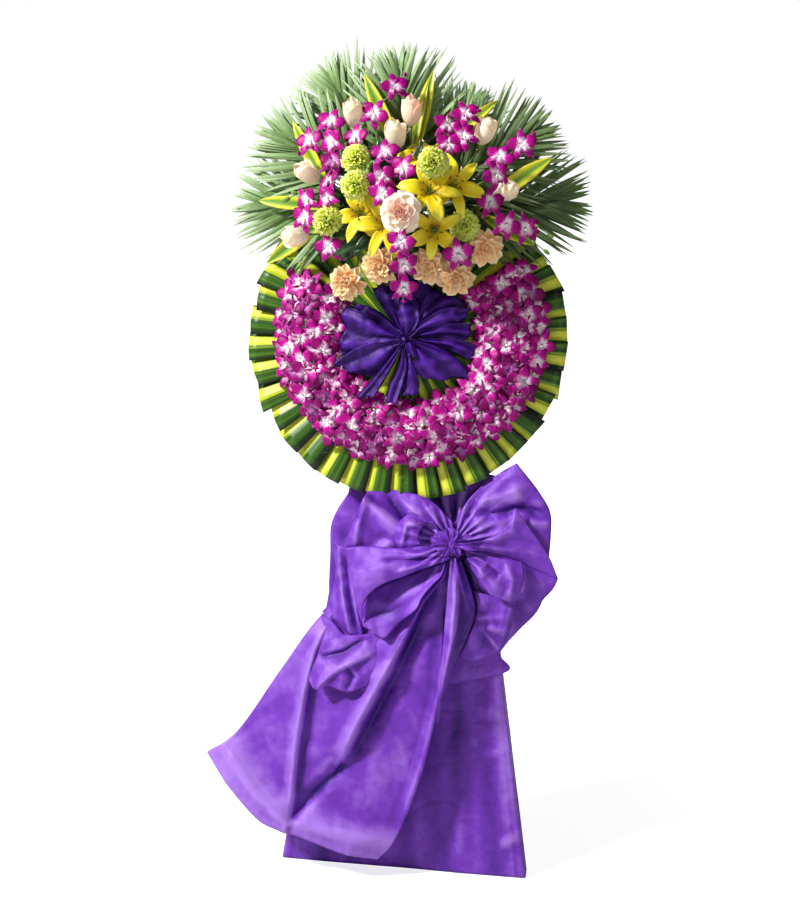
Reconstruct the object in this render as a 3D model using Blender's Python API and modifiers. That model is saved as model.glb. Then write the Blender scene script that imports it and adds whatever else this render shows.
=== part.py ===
"""Standing funeral wreath: a leaning wooden easel dressed in purple cloth, with a round leaf wreath,
an orchid band, a cloth rosette and a fan-shaped spray of flowers on top.

The wreath leans back with the easel. Everything on it is modelled in the face frame: X to the
viewer's right, Z up the leaning face, and Y into the back, with Y = 0 on the front of the legs.
Flowers, leaves and the wreath use the same directions with their origin at the wreath's centre.
"""

import math
import random

import bmesh
import bpy
from mathutils import Matrix, Vector
from mathutils.bvhtree import BVHTree

MM = 0.001
GAP = 0.4 * MM                       # clearance between pieces that touch

# Stand
LEAN = math.radians(8)               # how far the face leans back
STAND_SHIFT = (0.019, -0.275, 0.0)   # puts the middle of the whole outline over the origin
EASEL_X = 10 * MM                    # the easel's middle, to the right of the face's
LEG_WIDTH = 38 * MM
LEG_THICK = 20 * MM
LEG_LENGTH = 1330 * MM
FOOT_HALF_SPAN = 228 * MM
TOP_HALF_SPAN = 26 * MM
BAR_HEIGHT = 40 * MM
BAR_THICK = 18 * MM
BAR_LEVELS = {"bar_low": 250 * MM, "bar_middle": 880 * MM, "bar_top": 1235 * MM}
BACK_FOOT_Y = 640 * MM               # back leg's foot behind the front feet

# Wreath
WREATH_X = -4 * MM
WREATH_LEVEL = 1070 * MM             # wreath's centre, up the face
PAD_RADIUS = 235 * MM
PAD_DEPTH = 53 * MM                  # its front carries the backs of the leaves
LEAF_FRONT = 62 * MM                 # front of the leaf layers
LEAF_THICK = 1.4 * MM
COLLAR_RADIUS = 311 * MM
COLLAR_INNER = 18 * MM
COLLAR_LEAVES = 38
BAND_CENTRE_X = 8 * MM
BAND_RADIUS = 190 * MM               # middle of the orchid band
BAND_HALF_WIDTH = 58 * MM
BAND_CORE_DEPTH = 24 * MM
BAND_START, BAND_END = 150, 395      # degrees, over the bottom
BAND_SEAM = 270                      # degrees, where its two halves meet
BAND_FLORET = 33 * MM
BAND_ROWS = ((-42, 84, 11), (2, 92, 15), (46, 85, 19))    # across and depth in mm, and florets

# Spray
FOAM_SIZE = (230 * MM, 80 * MM, 110 * MM)
FOAM_CENTRE = Vector((0, -102.5, 240)) * MM
STEM_RADIUS = 2.4 * MM
STEM_DEPTHS = {"front": 13 * MM, "top": 24 * MM, "bottom": 24 * MM, "left": 24 * MM, "right": 24 * MM}
FROND_IN_FOAM = 24 * MM
FLORET = 27 * MM

# Cloth
CLOTH_THICK = 1.6 * MM
SKIRT_FRONT = -GAP - 0.3 * CLOTH_THICK
SKIRT_BULGE = 2 * MM
FROND_STALK = 3 * MM

COLOURS = {
    "wood": (0.55, 0.38, 0.2),
    "straw": (0.5, 0.38, 0.18),
    "variegated_leaf": (0.28, 0.42, 0.05),
    "palm": (0.1, 0.26, 0.08),
    "orchid": (0.5, 0.02, 0.38),
    "lily": (0.85, 0.62, 0.02),
    "green_carnation": (0.6, 0.75, 0.1),
    "peach_petal": (0.86, 0.55, 0.33),
    "cream_bud": (0.9, 0.75, 0.58),
    "foam": (0.05, 0.18, 0.06),
    "cloth": (0.2, 0.06, 0.5),
    "dark_cloth": (0.08, 0.01, 0.3),
}


def clear_scene():
    for old in list(bpy.data.objects):
        bpy.data.objects.remove(old)


def material(name, roughness=0.7):
    made = bpy.data.materials.get(name)
    if made is None:
        made = bpy.data.materials.new(name)
        made.use_nodes = True
        shader = made.node_tree.nodes["Principled BSDF"]
        shader.inputs["Base Color"].default_value = (*COLOURS[name], 1)
        shader.inputs["Roughness"].default_value = roughness
        shader.inputs["Metallic"].default_value = 0
    return made


def collection(name):
    made = bpy.data.collections.new(name)
    bpy.context.scene.collection.children.link(made)
    return made


def empty(name, parent=None, location=(0, 0, 0), lean=0.0):
    made = bpy.data.objects.new(name, None)
    PARTS.objects.link(made)
    made.parent = parent
    made.location = location
    made.rotation_euler = (-lean, 0, 0)
    return made


def finish_mesh(bm, name):
    """The bmesh as a mesh whose faces point outwards."""
    bmesh.ops.recalc_face_normals(bm, faces=bm.faces)
    mesh = bpy.data.meshes.new(name)
    bm.to_mesh(mesh)
    bm.free()
    return mesh


def node(name, mesh, colour, parent, location=(0, 0, 0), rotation=(0, 0, 0)):
    made = bpy.data.objects.new(name, mesh)
    mesh.materials.clear()
    mesh.materials.append(material(colour))
    PARTS.objects.link(made)
    made.parent = parent
    made.location = location
    made.rotation_euler = rotation
    return made


def evaluated_mesh(obj):
    """The object's mesh with its modifiers applied."""
    bpy.context.view_layer.update()
    graph = bpy.context.evaluated_depsgraph_get()
    return bpy.data.meshes.new_from_object(obj.evaluated_get(graph))


def combine(base, others, operation, solver):
    """Mesh base joined with, or cut by, the other meshes."""
    body = bpy.data.objects.new("boolean_body", base)
    CUTTERS.objects.link(body)
    group = bpy.data.collections.new("boolean_group")
    for mesh in others:
        group.objects.link(bpy.data.objects.new("boolean_piece", mesh))
    bpy.context.scene.collection.children.link(group)
    modifier = body.modifiers.new("combine", "BOOLEAN")
    modifier.operation = operation
    modifier.operand_type = "COLLECTION"
    modifier.collection = group
    modifier.solver = solver
    mesh = evaluated_mesh(body)
    for obj in [body, *group.objects]:
        bpy.data.objects.remove(obj)
    bpy.data.collections.remove(group)
    return mesh


def fuse(name, meshes, colour, parent, solver="EXACT"):
    return node(name, combine(meshes[0], meshes[1:], "UNION", solver), colour, parent)


# Shapes that several pieces share


def rod(points, radius, end_radius=None, sides=4):
    """A tapering rod through the points, with flat ends."""
    curve = bpy.data.curves.new("rod", "CURVE")
    curve.dimensions = "3D"
    curve.bevel_depth = radius
    curve.bevel_resolution = sides // 2 - 2
    curve.use_fill_caps = True
    spline = curve.splines.new("POLY")
    spline.points.add(len(points) - 1)
    last = len(points) - 1
    for i, (point, at) in enumerate(zip(spline.points, points)):
        point.co = (*at, 1)
        point.radius = 1 + ((end_radius or radius) / radius - 1) * i / last
    obj = bpy.data.objects.new("rod", curve)
    CUTTERS.objects.link(obj)
    mesh = evaluated_mesh(obj)
    bpy.data.objects.remove(obj)
    bm = bmesh.new()
    bm.from_mesh(mesh)
    bmesh.ops.remove_doubles(bm, verts=bm.verts, dist=0.00001)
    return finish_mesh(bm, "rod")


def loft(rings, tip=None):
    """A closed solid through rings of points, ending in a point if a tip is given."""
    bm = bmesh.new()
    made = [[bm.verts.new(p) for p in ring] for ring in rings]
    count = len(rings[0])
    for lower, upper in zip(made, made[1:]):
        for i in range(count):
            j = (i + 1) % count
            bm.faces.new((lower[i], lower[j], upper[j], upper[i]))
    bm.faces.new(made[0])
    if tip is None:
        bm.faces.new(made[-1])
    else:
        end = bm.verts.new(tip)
        for i in range(count):
            bm.faces.new((made[-1][i], made[-1][(i + 1) % count], end))
    return finish_mesh(bm, "loft")


def blade(stations, thick, place):
    """A petal or leaf: stations of (out, up, half width, edge lift) from its root to its tip."""
    rings = []
    for out, up, half, lift in stations[:-1]:
        ring = ((-half, up + lift), (0, up - thick / 2), (half, up + lift), (0, up + thick / 2))
        rings.append([place @ Vector((out, across, height)) for across, height in ring])
    out, up = stations[-1][:2]
    return loft(rings, place @ Vector((out, 0, up)))


def dish(outline, heart, root, place):
    """A shallow frilled cup: its outline, the middle of its face and the root behind it."""
    bm = bmesh.new()
    rim = [bm.verts.new(place @ Vector(p)) for p in outline]
    face = bm.verts.new(place @ Vector(heart))
    back = bm.verts.new(place @ Vector(root))
    for a, b in zip(rim, rim[1:] + rim[:1]):
        bm.faces.new((a, b, face))
        bm.faces.new((b, a, back))
    return finish_mesh(bm, "dish")


def lobed_outline(lobes, radius, notch, up, frill, turn):
    """Alternating lobe tips and notches round a cup's rim."""
    points = []
    for i in range(2 * lobes):
        angle = turn + math.pi * i / lobes
        reach = radius if i % 2 == 0 else notch
        lift = up + (frill if i % 4 == 0 else -frill if i % 4 == 2 else 0)
        points.append((reach * math.cos(angle), reach * math.sin(angle), lift))
    return points


def turned(profile, sides, place, wrap=0.0, petals=3):
    """A turned body of (radius, height) rings. wrap steps its side out, as wrapped petals do."""
    rings = []
    for radius, up in profile[:-1]:
        ring = []
        for i in range(sides):
            reach = radius * (1 + wrap * (i * petals / sides % 1))
            angle = 2 * math.pi * i / sides
            ring.append(place @ Vector((reach * math.cos(angle), reach * math.sin(angle), up)))
        rings.append(ring)
    return loft(rings, place @ Vector((0, 0, profile[-1][1])))


def facing(at, yaw=0.0, pitch=0.0, roll=0.0):
    """Puts a bloom at a point. Its local Z faces the viewer, turned right by yaw and up by pitch."""
    look = Matrix.Rotation(math.radians(yaw), 4, "Z") @ Matrix.Rotation(math.radians(90 - pitch), 4, "X")
    return Matrix.Translation(at) @ look @ Matrix.Rotation(math.radians(roll), 4, "Z")


def through(points, count):
    """Count points, evenly spread, on a smooth curve through the given ones."""
    knots = [2 * points[0] - points[1], *points, 2 * points[-1] - points[-2]]
    fine = []
    for i in range(1, len(knots) - 2):
        a, b, c, d = knots[i - 1 : i + 3]
        for k in range(16):
            t = k / 16
            bend = (2 * a - 5 * b + 4 * c - d) * t**2 + (3 * b - a - 3 * c + d) * t**3
            fine.append(0.5 * (2 * b + (c - a) * t + bend))
    fine.append(points[-1])
    along = [0.0]
    for p, q in zip(fine, fine[1:]):
        along.append(along[-1] + (q - p).length)
    found, k = [], 0
    for i in range(count):
        want = along[-1] * i / (count - 1)
        while k < len(fine) - 2 and along[k + 1] < want:
            k += 1
        share = (want - along[k]) / max(along[k + 1] - along[k], 1e-9)
        found.append(fine[k].lerp(fine[k + 1], min(max(share, 0), 1)))
    return found


def patch(top, bottom, left, right, columns, rows):
    """A grid of points between four edges, each a list of (x, y, z) in mm. Rows run downwards."""
    top, bottom = (through([Vector(p) * MM for p in edge], columns + 1) for edge in (top, bottom))
    left, right = (through([Vector(p) * MM for p in edge], rows + 1) for edge in (left, right))
    grid = []
    for j in range(rows + 1):
        v = j / rows
        row = []
        for i in range(columns + 1):
            u = i / columns
            corners = (1 - v) * ((1 - u) * top[0] + u * top[-1]) + v * ((1 - u) * bottom[0] + u * bottom[-1])
            row.append((1 - v) * top[i] + v * bottom[i] + (1 - u) * left[j] + u * right[j] - corners)
        grid.append(row)
    return grid


def sheet(grid, thick, closed=False):
    """A grid of points as a thin solid, thickened towards the back."""
    bm = bmesh.new()
    made = [[bm.verts.new(p) for p in row] for row in grid]
    columns = len(grid[0])
    for upper, lower in zip(made, made[1:]):
        for i in range(columns if closed else columns - 1):
            j = (i + 1) % columns
            bm.faces.new((upper[i], upper[j], lower[j]))
            bm.faces.new((upper[i], lower[j], lower[i]))
    back = bmesh.ops.extrude_face_region(bm, geom=bm.faces[:], use_keep_orig=True)
    moved = [v for v in back["geom"] if isinstance(v, bmesh.types.BMVert)]
    bmesh.ops.translate(bm, verts=moved, vec=(0, thick, 0))
    return finish_mesh(bm, "sheet")


def bulged(grid, push):
    """The grid moved towards the viewer by push(u, v), in mm."""
    rows, columns = len(grid) - 1, len(grid[0]) - 1
    return [
        [p + Vector((0, -push(i / columns, j / rows) * MM, 0)) for i, p in enumerate(row)]
        for j, row in enumerate(grid)
    ]


# Easel


def board(size):
    bm = bmesh.new()
    bmesh.ops.create_cube(bm, size=1, matrix=Matrix.Diagonal((*size, 1)))
    return bm


def cut_away(bm, point, normal):
    """Cuts off what lies on the normal's side of a plane, and closes the cut."""
    geometry = bm.verts[:] + bm.edges[:] + bm.faces[:]
    cut = bmesh.ops.bisect_plane(bm, geom=geometry, plane_co=point, plane_no=normal, clear_outer=True)
    edges = [e for e in cut["geom_cut"] if isinstance(e, bmesh.types.BMEdge)]
    bmesh.ops.contextual_create(bm, geom=edges)


def front_leg(name, side, face):
    """A splayed slat whose foot is cut level with the floor."""
    splay = math.atan2(FOOT_HALF_SPAN - TOP_HALF_SPAN, LEG_LENGTH)
    middle = Vector((side * (FOOT_HALF_SPAN + TOP_HALF_SPAN) / 2, LEG_THICK / 2, LEG_LENGTH / 2))
    bm = board((LEG_WIDTH, LEG_THICK, LEG_LENGTH + 60 * MM))
    bmesh.ops.transform(bm, matrix=Matrix.Rotation(-side * splay, 4, "Y"), verts=bm.verts)
    bmesh.ops.translate(bm, vec=middle, verts=bm.verts)
    cut_away(bm, (0, 0, 0), (0, math.sin(LEAN), -math.cos(LEAN)))
    cut_away(bm, (0, 0, LEG_LENGTH), (0, 0, 1))
    return node(name, finish_mesh(bm, name), "wood", face)


def half_span(level):
    """Half the distance between the front legs' middles, up the face."""
    return FOOT_HALF_SPAN + (TOP_HALF_SPAN - FOOT_HALF_SPAN) * level / LEG_LENGTH


def cross_bar(name, level, face):
    bm = board((2 * half_span(level) + 0.6 * LEG_WIDTH, BAR_THICK, BAR_HEIGHT))
    at = (0, LEG_THICK + GAP + BAR_THICK / 2, level)
    return node(name, finish_mesh(bm, name), "wood", face, location=at)


def back_leg(face):
    """A slat from the back of the top bar to the floor, both ends cut flush."""
    start = Vector((0, LEG_THICK + 2 * GAP + BAR_THICK, BAR_LEVELS["bar_top"]))
    foot = Vector((0, math.cos(LEAN), math.sin(LEAN))) * BACK_FOOT_Y
    along = foot - start
    turn = Vector((0, 0, 1)).rotation_difference(-along).to_matrix().to_4x4()
    bm = board((LEG_WIDTH, LEG_THICK, along.length + 120 * MM))
    bmesh.ops.transform(bm, matrix=Matrix.Translation((start + foot) / 2) @ turn, verts=bm.verts)
    cut_away(bm, (0, 0, 0), (0, math.sin(LEAN), -math.cos(LEAN)))
    cut_away(bm, start, (0, -1, 0))
    return node("leg_back", finish_mesh(bm, "leg_back"), "wood", face)


# Wreath


def wreath_pad(wreath):
    """The round straw pad that everything on the wreath is pinned to."""
    bm = bmesh.new()
    round_face = dict(segments=32, radius1=PAD_RADIUS, radius2=PAD_RADIUS)
    bmesh.ops.create_cone(bm, cap_ends=True, depth=PAD_DEPTH, **round_face)
    bmesh.ops.transform(bm, matrix=Matrix.Rotation(math.radians(90), 4, "X"), verts=bm.verts)
    rims = [e for e in bm.edges if abs(e.verts[0].co.y - e.verts[1].co.y) < 1e-6]
    bmesh.ops.bevel(bm, geom=rims, offset=10 * MM, segments=1, profile=0.5, affect="EDGES", material=-1)
    at = (0, -GAP - PAD_DEPTH / 2, 0)
    return node("straw_pad", finish_mesh(bm, "straw_pad"), "straw", wreath, location=at)


def folded_leaves(wreath):
    """Folded leaf strips laid round like roof tiles: each rises to its fold and covers the next."""
    fold = ((0.0, 9.0), (0.48, 0.0), (0.93, 7.5))       # share of a leaf, depth in mm
    draw = random.Random(COLLAR_LEAVES)
    rings = [[], []]
    for leaf in range(COLLAR_LEAVES):
        reach = COLLAR_RADIUS + 3 * MM * draw.uniform(-1, 1)
        for share, depth in fold:
            angle = 2 * math.pi * (leaf + share) / COLLAR_LEAVES
            cut = reach - (2.5 * MM if share == 0 else 0)
            for ring, radius in zip(rings, (COLLAR_INNER, cut)):
                y = -LEAF_FRONT + depth * MM * min(1, radius / COLLAR_RADIUS + 0.1)
                ring.append(Vector((radius * math.cos(angle), y, radius * math.sin(angle))))
    node("folded_leaves", sheet(rings, LEAF_THICK, closed=True), "variegated_leaf", wreath)


def orchid_floret(place, size, root=0.62):
    """Three pointed sepals and two broad petals round a raised lip, on a root that tapers behind them."""
    outline = []
    for angle, reach in (
        (90, 1), (58, 0.45), (34, 0.95), (2, 0.95), (-26, 0.5), (-56, 0.95),
        (-90, 0.45), (-124, 0.95), (206, 0.5), (178, 0.95), (146, 0.95), (122, 0.45),
    ):
        turn = math.radians(angle)
        up = 0.16 * size if reach > 0.6 else 0
        outline.append((reach * size * math.cos(turn), reach * size * math.sin(turn), up))
    return dish(outline, (0, -0.1 * size, 0.3 * size), (0, 0, -root * size), place)


def band_core(start, end, steps):
    """The low ridge that the orchids are pinned to, from one angle to another."""
    rings = []
    for i in range(steps + 1):
        angle = math.radians(start + (end - start) * i / steps)
        ring = []
        for across, depth in ((-0.8, 0), (-0.72, 0.7), (0, 1), (0.72, 0.7), (0.8, 0)):
            radius = BAND_RADIUS + across * BAND_HALF_WIDTH
            y = -LEAF_FRONT - GAP - depth * BAND_CORE_DEPTH
            ring.append(Vector((BAND_CENTRE_X + radius * math.cos(angle), y, radius * math.sin(angle))))
        rings.append(ring)
    return loft(rings)


def orchid_band(name, start, end, wreath):
    """Rows of florets that cover the ridge, each turned a little its own way."""
    draw = random.Random(start)
    left = end == BAND_SEAM
    pieces = [band_core(start + (4 if left else 0.4), end - (0.4 if left else 4), 9)]
    for across, depth, count in BAND_ROWS:
        step = (BAND_END - BAND_START) / count
        first = BAND_START + (BAND_SEAM - 5 - BAND_START) % step      # each row has one just before the seam
        for i in range(count):
            angle = first + step * i
            roll = draw.uniform(-40, 40)
            if not start + (4 if left else 7) < angle < end - (2 if left else 5):
                continue
            raised = 20 if left and angle > end - 15 else 0   # these lie over the other half's
            radius = BAND_RADIUS + across * MM
            turn = math.radians(angle)
            x, z = BAND_CENTRE_X + radius * math.cos(turn), radius * math.sin(turn)
            at = Vector((x, -(depth + raised + draw.uniform(-3, 3)) * MM, z))
            tip = across / 46 * 24                        # outer florets turn outwards
            place = facing(at, tip * math.cos(turn), tip * math.sin(turn), roll)
            pieces.append(orchid_floret(place, BAND_FLORET, 1.1 if raised else 0.62))
    return fuse(name, pieces, "orchid", wreath)


ROSETTE_CENTRE = Vector((-6, -82, -2)) * MM
ROSETTE_NECK = 9 * MM
ROSETTE_TAILS = (                    # angle, length, half width and rise towards the viewer, in mm
    (158, 116, 27, 22), (182, 112, 17, 34), (206, 130, 18, 40), (230, 126, 17, 34), (254, 116, 14, 42),
    (276, 104, 16, 32), (299, 92, 12, 20), (325, 126, 20, 42), (345, 138, 14, 36), (3, 128, 15, 26),
    (25, 130, 20, 36), (50, 112, 19, 24), (76, 112, 20, 34), (101, 104, 18, 22), (127, 112, 17, 32),
)


def rosette(wreath):
    """The gathered cloth rosette: folded tails round a knot, whose neck stands on the straw pad."""
    place = facing(ROSETTE_CENTRE)
    on_pad = Vector((ROSETTE_CENTRE.x, -2 * GAP - PAD_DEPTH, ROSETTE_CENTRE.z))
    neck = rod([ROSETTE_CENTRE + Vector((0, -5 * MM, 0)), on_pad], ROSETTE_NECK, sides=8)
    pieces = [turned(((12 * MM, 0), (20 * MM, 10 * MM), (12 * MM, 27 * MM), (0, 31 * MM)), 7, place), neck]
    for angle, length, half, rise in ROSETTE_TAILS:
        turned_place = place @ Matrix.Rotation(math.radians(angle), 4, "Z")
        stations = (
            (14, 8, 2.6, 1),
            (length * 0.62, rise * 0.9, half, -half * 0.3),
            (length * 0.9, rise, half * 0.72, -half * 0.3),
            (length, rise - 3, 0, 0),
        )
        pieces.append(blade([tuple(x * MM for x in s) for s in stations], 2.2 * MM, turned_place))
    # EXACT leaves scraps where the thin tails cross
    return fuse("rosette", pieces, "dark_cloth", wreath, solver="MANIFOLD")


# Cloth on the stand


def thickened(rows):
    """An open grid of points as a cloth solid of even thickness."""
    bm = bmesh.new()
    made = [[bm.verts.new(p) for p in row] for row in rows]
    for upper, lower in zip(made, made[1:]):
        for i in range(len(upper) - 1):
            bm.faces.new((upper[i], lower[i], lower[i + 1]))
            bm.faces.new((upper[i], lower[i + 1], upper[i + 1]))
    obj = bpy.data.objects.new("cloth", finish_mesh(bm, "cloth"))
    CUTTERS.objects.link(obj)
    solid = obj.modifiers.new("thickness", "SOLIDIFY")
    solid.thickness = CLOTH_THICK
    solid.offset = 0
    mesh = evaluated_mesh(obj)
    bpy.data.objects.remove(obj)
    return mesh


def skirt(face):
    """The cloth stretched over the front of the legs and folded round their outer sides."""
    rows, top, hem, wrap = 5, 650 * MM, 6 * MM, 34 * MM
    grid = []
    for j in range(rows + 1):
        level = top + (hem - top) * j / rows
        edge = half_span(level) + LEG_WIDTH / 2 + 3 * GAP + CLOTH_THICK
        middle, crest = (0, SKIRT_FRONT), (edge * 0.5, SKIRT_FRONT - SKIRT_BULGE)
        half = (middle, crest, (edge, SKIRT_FRONT), (edge, SKIRT_FRONT + wrap))
        row = [(-x, y) for x, y in half[:0:-1]] + list(half)
        grid.append([Vector((x, y, level)) for x, y in row])
    node("skirt", thickened(grid), "cloth", face)


def swag(face):
    """The loose upper cloth behind the bow, pinned to the skirt along its lower hem."""
    pinned = SKIRT_FRONT - SKIRT_BULGE - 1.5 * CLOTH_THICK - GAP
    grid = patch(
        top=((-109, -14, 778), (-14, -10, 795), (66, -10, 808), (145, -12, 812), (222, -14, 796)),
        bottom=((-130, -7, 400), (-16, -7, 372), (108, -7, 387), (202, -7, 413)),
        left=((-109, -14, 778), (-148, -20, 706), (-150, -24, 640), (-150, -20, 540), (-130, -7, 400)),
        right=(
            (222, -14, 796), (274, -26, 737), (278, -30, 660), (286, -28, 612),
            (267, -24, 549), (229, -16, 503), (195, -12, 457), (202, -7, 413),
        ),
        columns=8, rows=8,
    )

    def folds(u, v):
        return 14 * math.sin(math.pi * u) * math.sin(math.pi * v) * abs(math.sin(3.5 * math.pi * u))

    grid = bulged(grid, folds)
    for point in grid[-1]:
        point.y = pinned
    mesh = sheet(grid, CLOTH_THICK)
    node("swag", mesh, "cloth", face)
    return mesh


def cloth_loop(edges, swell):
    """A loop of cloth between four edges. Its front and back meet where it turns, at the right edge."""
    grid = patch(columns=5, rows=5, **edges)

    def full(u, v):
        return swell * math.sin(math.pi * min(1, u * 1.02)) * (0.6 + 0.4 * math.sin(3 * math.pi * v))

    front = bulged(grid, full)
    back = bulged(grid, lambda u, v: -0.7 * swell * math.sin(math.pi * u))
    return thickened([f + b[::-1][1:] for f, b in zip(front, back)])


def tails():
    """The broad tail that sweeps out to the left, and the narrow one that hangs beside it."""
    broad = patch(
        top=((88, -74, 664), (98, -78, 664), (110, -74, 664)),
        bottom=(
            (-389, -44, 226), (-330, -56, 165), (-272, -60, 107), (-228, -52, 91),
            (-186, -50, 78), (-102, -62, 46), (-30, -56, 32),
        ),
        left=(
            (88, -74, 664), (-30, -58, 600), (-169, -50, 520), (-235, -52, 414),
            (-321, -50, 280), (-389, -44, 226),
        ),
        right=(
            (110, -74, 664), (100, -68, 480), (84, -64, 366), (49, -58, 204), (4, -60, 79), (-30, -56, 32),
        ),
        columns=8, rows=9,
    )
    broad = bulged(broad, lambda u, v: 10 * math.sin(3 * math.pi * u) * math.sin(math.pi * v))
    narrow = patch(
        top=((96, -82, 664), (112, -82, 664)), bottom=((90, -78, 430), (118, -78, 430)),
        left=((96, -82, 664), (93, -78, 553), (90, -78, 430)),
        right=((112, -82, 664), (123, -78, 553), (118, -78, 430)), columns=1, rows=3,
    )
    return [sheet(broad, CLOTH_THICK), sheet(narrow, CLOTH_THICK)]


KNOT = Vector((102, -84, 680)) * MM
KNOT_HALF = (20 * MM, 24 * MM, 28 * MM)
NECK_RADIUS = 11 * MM


def bow(face, seat):
    """The bow, tied from one length of cloth. The gathers behind its knot rest on the seat, the swag."""
    loops = (
        dict(                                             # upper right
            top=((112, -86, 692), (176, -76, 768), (232, -62, 826)),
            bottom=((112, -86, 672), (176, -76, 594), (232, -66, 586), (300, -58, 614)),
            left=((112, -86, 692), (114, -86, 682), (112, -86, 672)),
            right=((232, -62, 826), (284, -60, 746), (290, -60, 690), (300, -58, 614)),
        ),
        dict(                                             # upper left
            top=((92, -86, 690), (44, -82, 726), (-16, -80, 742), (-96, -66, 752)),
            bottom=((92, -86, 680), (0, -78, 674), (-105, -66, 672)),
            left=((92, -86, 690), (90, -86, 685), (92, -86, 680)),
            right=((-96, -66, 752), (-134, -66, 716), (-105, -66, 672)),
        ),
        dict(                                             # lower left, open towards the viewer
            top=((-72, -92, 538), (-86, -92, 600), (-103, -88, 660)),
            bottom=((92, -96, 664), (93, -94, 668), (94, -90, 672)),
            left=((-72, -92, 538), (-50, -98, 565), (-10, -104, 596), (50, -102, 636), (92, -96, 664)),
            right=((-103, -88, 660), (-40, -90, 662), (44, -92, 664), (94, -90, 672)),
        ),
    )
    draw = random.Random(3)
    bm = bmesh.new()
    bmesh.ops.create_uvsphere(bm, u_segments=10, v_segments=7, radius=1)
    for vert in bm.verts:
        vert.co *= draw.uniform(0.88, 1.0)
    place = Matrix.Translation(KNOT) @ Matrix.Diagonal((*KNOT_HALF, 1))
    bmesh.ops.transform(bm, matrix=place, verts=bm.verts)
    tree = BVHTree.FromPolygons([v.co for v in seat.vertices], [p.vertices for p in seat.polygons])
    reached = []
    for i in range(8):
        turn = math.pi * i / 4
        start = KNOT + NECK_RADIUS * Vector((math.cos(turn), 0, math.sin(turn)))
        reached.append(tree.ray_cast(start, (0, 1, 0))[0].y)
    neck = rod([KNOT, Vector((KNOT.x, min(reached) - GAP, KNOT.z))], NECK_RADIUS, sides=8)
    swells = (30, 30, 12)
    pieces = [finish_mesh(bm, "knot"), neck, *tails()]
    pieces += [cloth_loop(edges, swell) for edges, swell in zip(loops, swells)]
    fuse("bow", pieces, "cloth", face)


# Spray: foam, stems and blooms


HOLES = []                           # stems' routes inside the foam, with their radii
OUTWARD = {
    "front": (0, -1, 0), "top": (0, 0, 1), "bottom": (0, 0, -1), "left": (-1, 0, 0), "right": (1, 0, 0),
}


def into_foam(start, hole, side, radius=STEM_RADIUS):
    """A stem from a bloom's base to its hole. The hole is a point in mm on a side of the foam."""
    outward = Vector(OUTWARD[side])
    mouth = Vector(hole) * MM
    near = mouth + outward * 8 * MM
    end = mouth - outward * STEM_DEPTHS[side]
    HOLES.append((mouth + outward * 6 * MM, end - outward * GAP, radius + 2 * GAP))
    return rod([end, near, start], radius)


def stem_base(place, back):
    """The point on a bloom's axis a given distance behind it."""
    return place @ Vector((0, 0, -back))


def lily(place, reach, hole, side):
    pieces = [turned(((4 * MM, -46 * MM), (12 * MM, -34 * MM), (0, -26 * MM)), 6, place)]
    for i in range(6):
        broad = 1.0 if i % 2 else 0.72
        turn = place @ Matrix.Rotation(math.radians(60 * i), 4, "Z")
        root, waist = (9 * MM, -35 * MM, 3.5 * MM, 0.6 * MM), (reach * 0.56, -8 * MM, 15 * MM * broad, 2 * MM)
        stations = (root, waist, (reach, -4 * MM, 0, 0))
        pieces.append(blade(stations, 2 * MM, turn))
    pieces.append(into_foam(stem_base(place, 42 * MM), hole, side))
    return pieces


def layered(place, layers, hole, side):
    """A full bloom: frilled cups of (lobes, radius, notch, height, frill) over a calyx and a stem."""
    pieces = [turned(((4 * MM, -32 * MM), (9 * MM, -24 * MM), (0, 4 * MM)), 5, place)]
    for k, (lobes, radius, notch, up, frill) in enumerate(layers):
        outline = lobed_outline(lobes, radius * MM, notch * MM, up * MM, frill * MM, 0.4 * k)
        pieces.append(dish(outline, (0, 0, (up + 1 + 2 * k) * MM), (0, 0, (up - 12) * MM), place))
    pieces.append(into_foam(stem_base(place, 29 * MM), hole, side))
    return pieces


CARNATION = ((7, 27, 22, 0, 3), (6, 20, 15, 8, 3), (4, 12, 8, 15, 2))
PEACH = ((7, 32, 25, -2, 2), (6, 24, 17, 7, 2), (4, 14, 9, 15, 2))
ROSE = ((6, 36, 30, -4, 1), (5, 26, 20, 5, 1), (4, 14, 10, 13, 1))


def bud(place, hole, side, size=1.0):
    """A closed bud of wrapped petals on its calyx."""
    profile = [(r * size * MM, h * size * MM) for r, h in ((4, -34), (13, -22), (19, -4), (16, 14), (0, 23))]
    pieces = [turned(profile, 9, place, wrap=0.12)]
    pieces.append(into_foam(stem_base(place, 30 * MM), hole, side))
    return pieces


def orchid_spray(florets, hole, side):
    """Florets of (x, y, z, yaw, pitch, roll) in mm and degrees, tip first, along a rachis."""
    pieces, route = [], []
    for x, y, z, yaw, pitch, roll in florets:
        place = facing(Vector((x, y, z)) * MM, yaw, pitch, roll)
        pieces.append(orchid_floret(place, FLORET))
        route.append(stem_base(place, 11 * MM))
    for a, b in zip(route, route[1:]):
        pieces.append(rod([a, b], 2 * MM))
    pieces.append(into_foam(route[-1], hole, side, 2 * MM))
    return pieces


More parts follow.
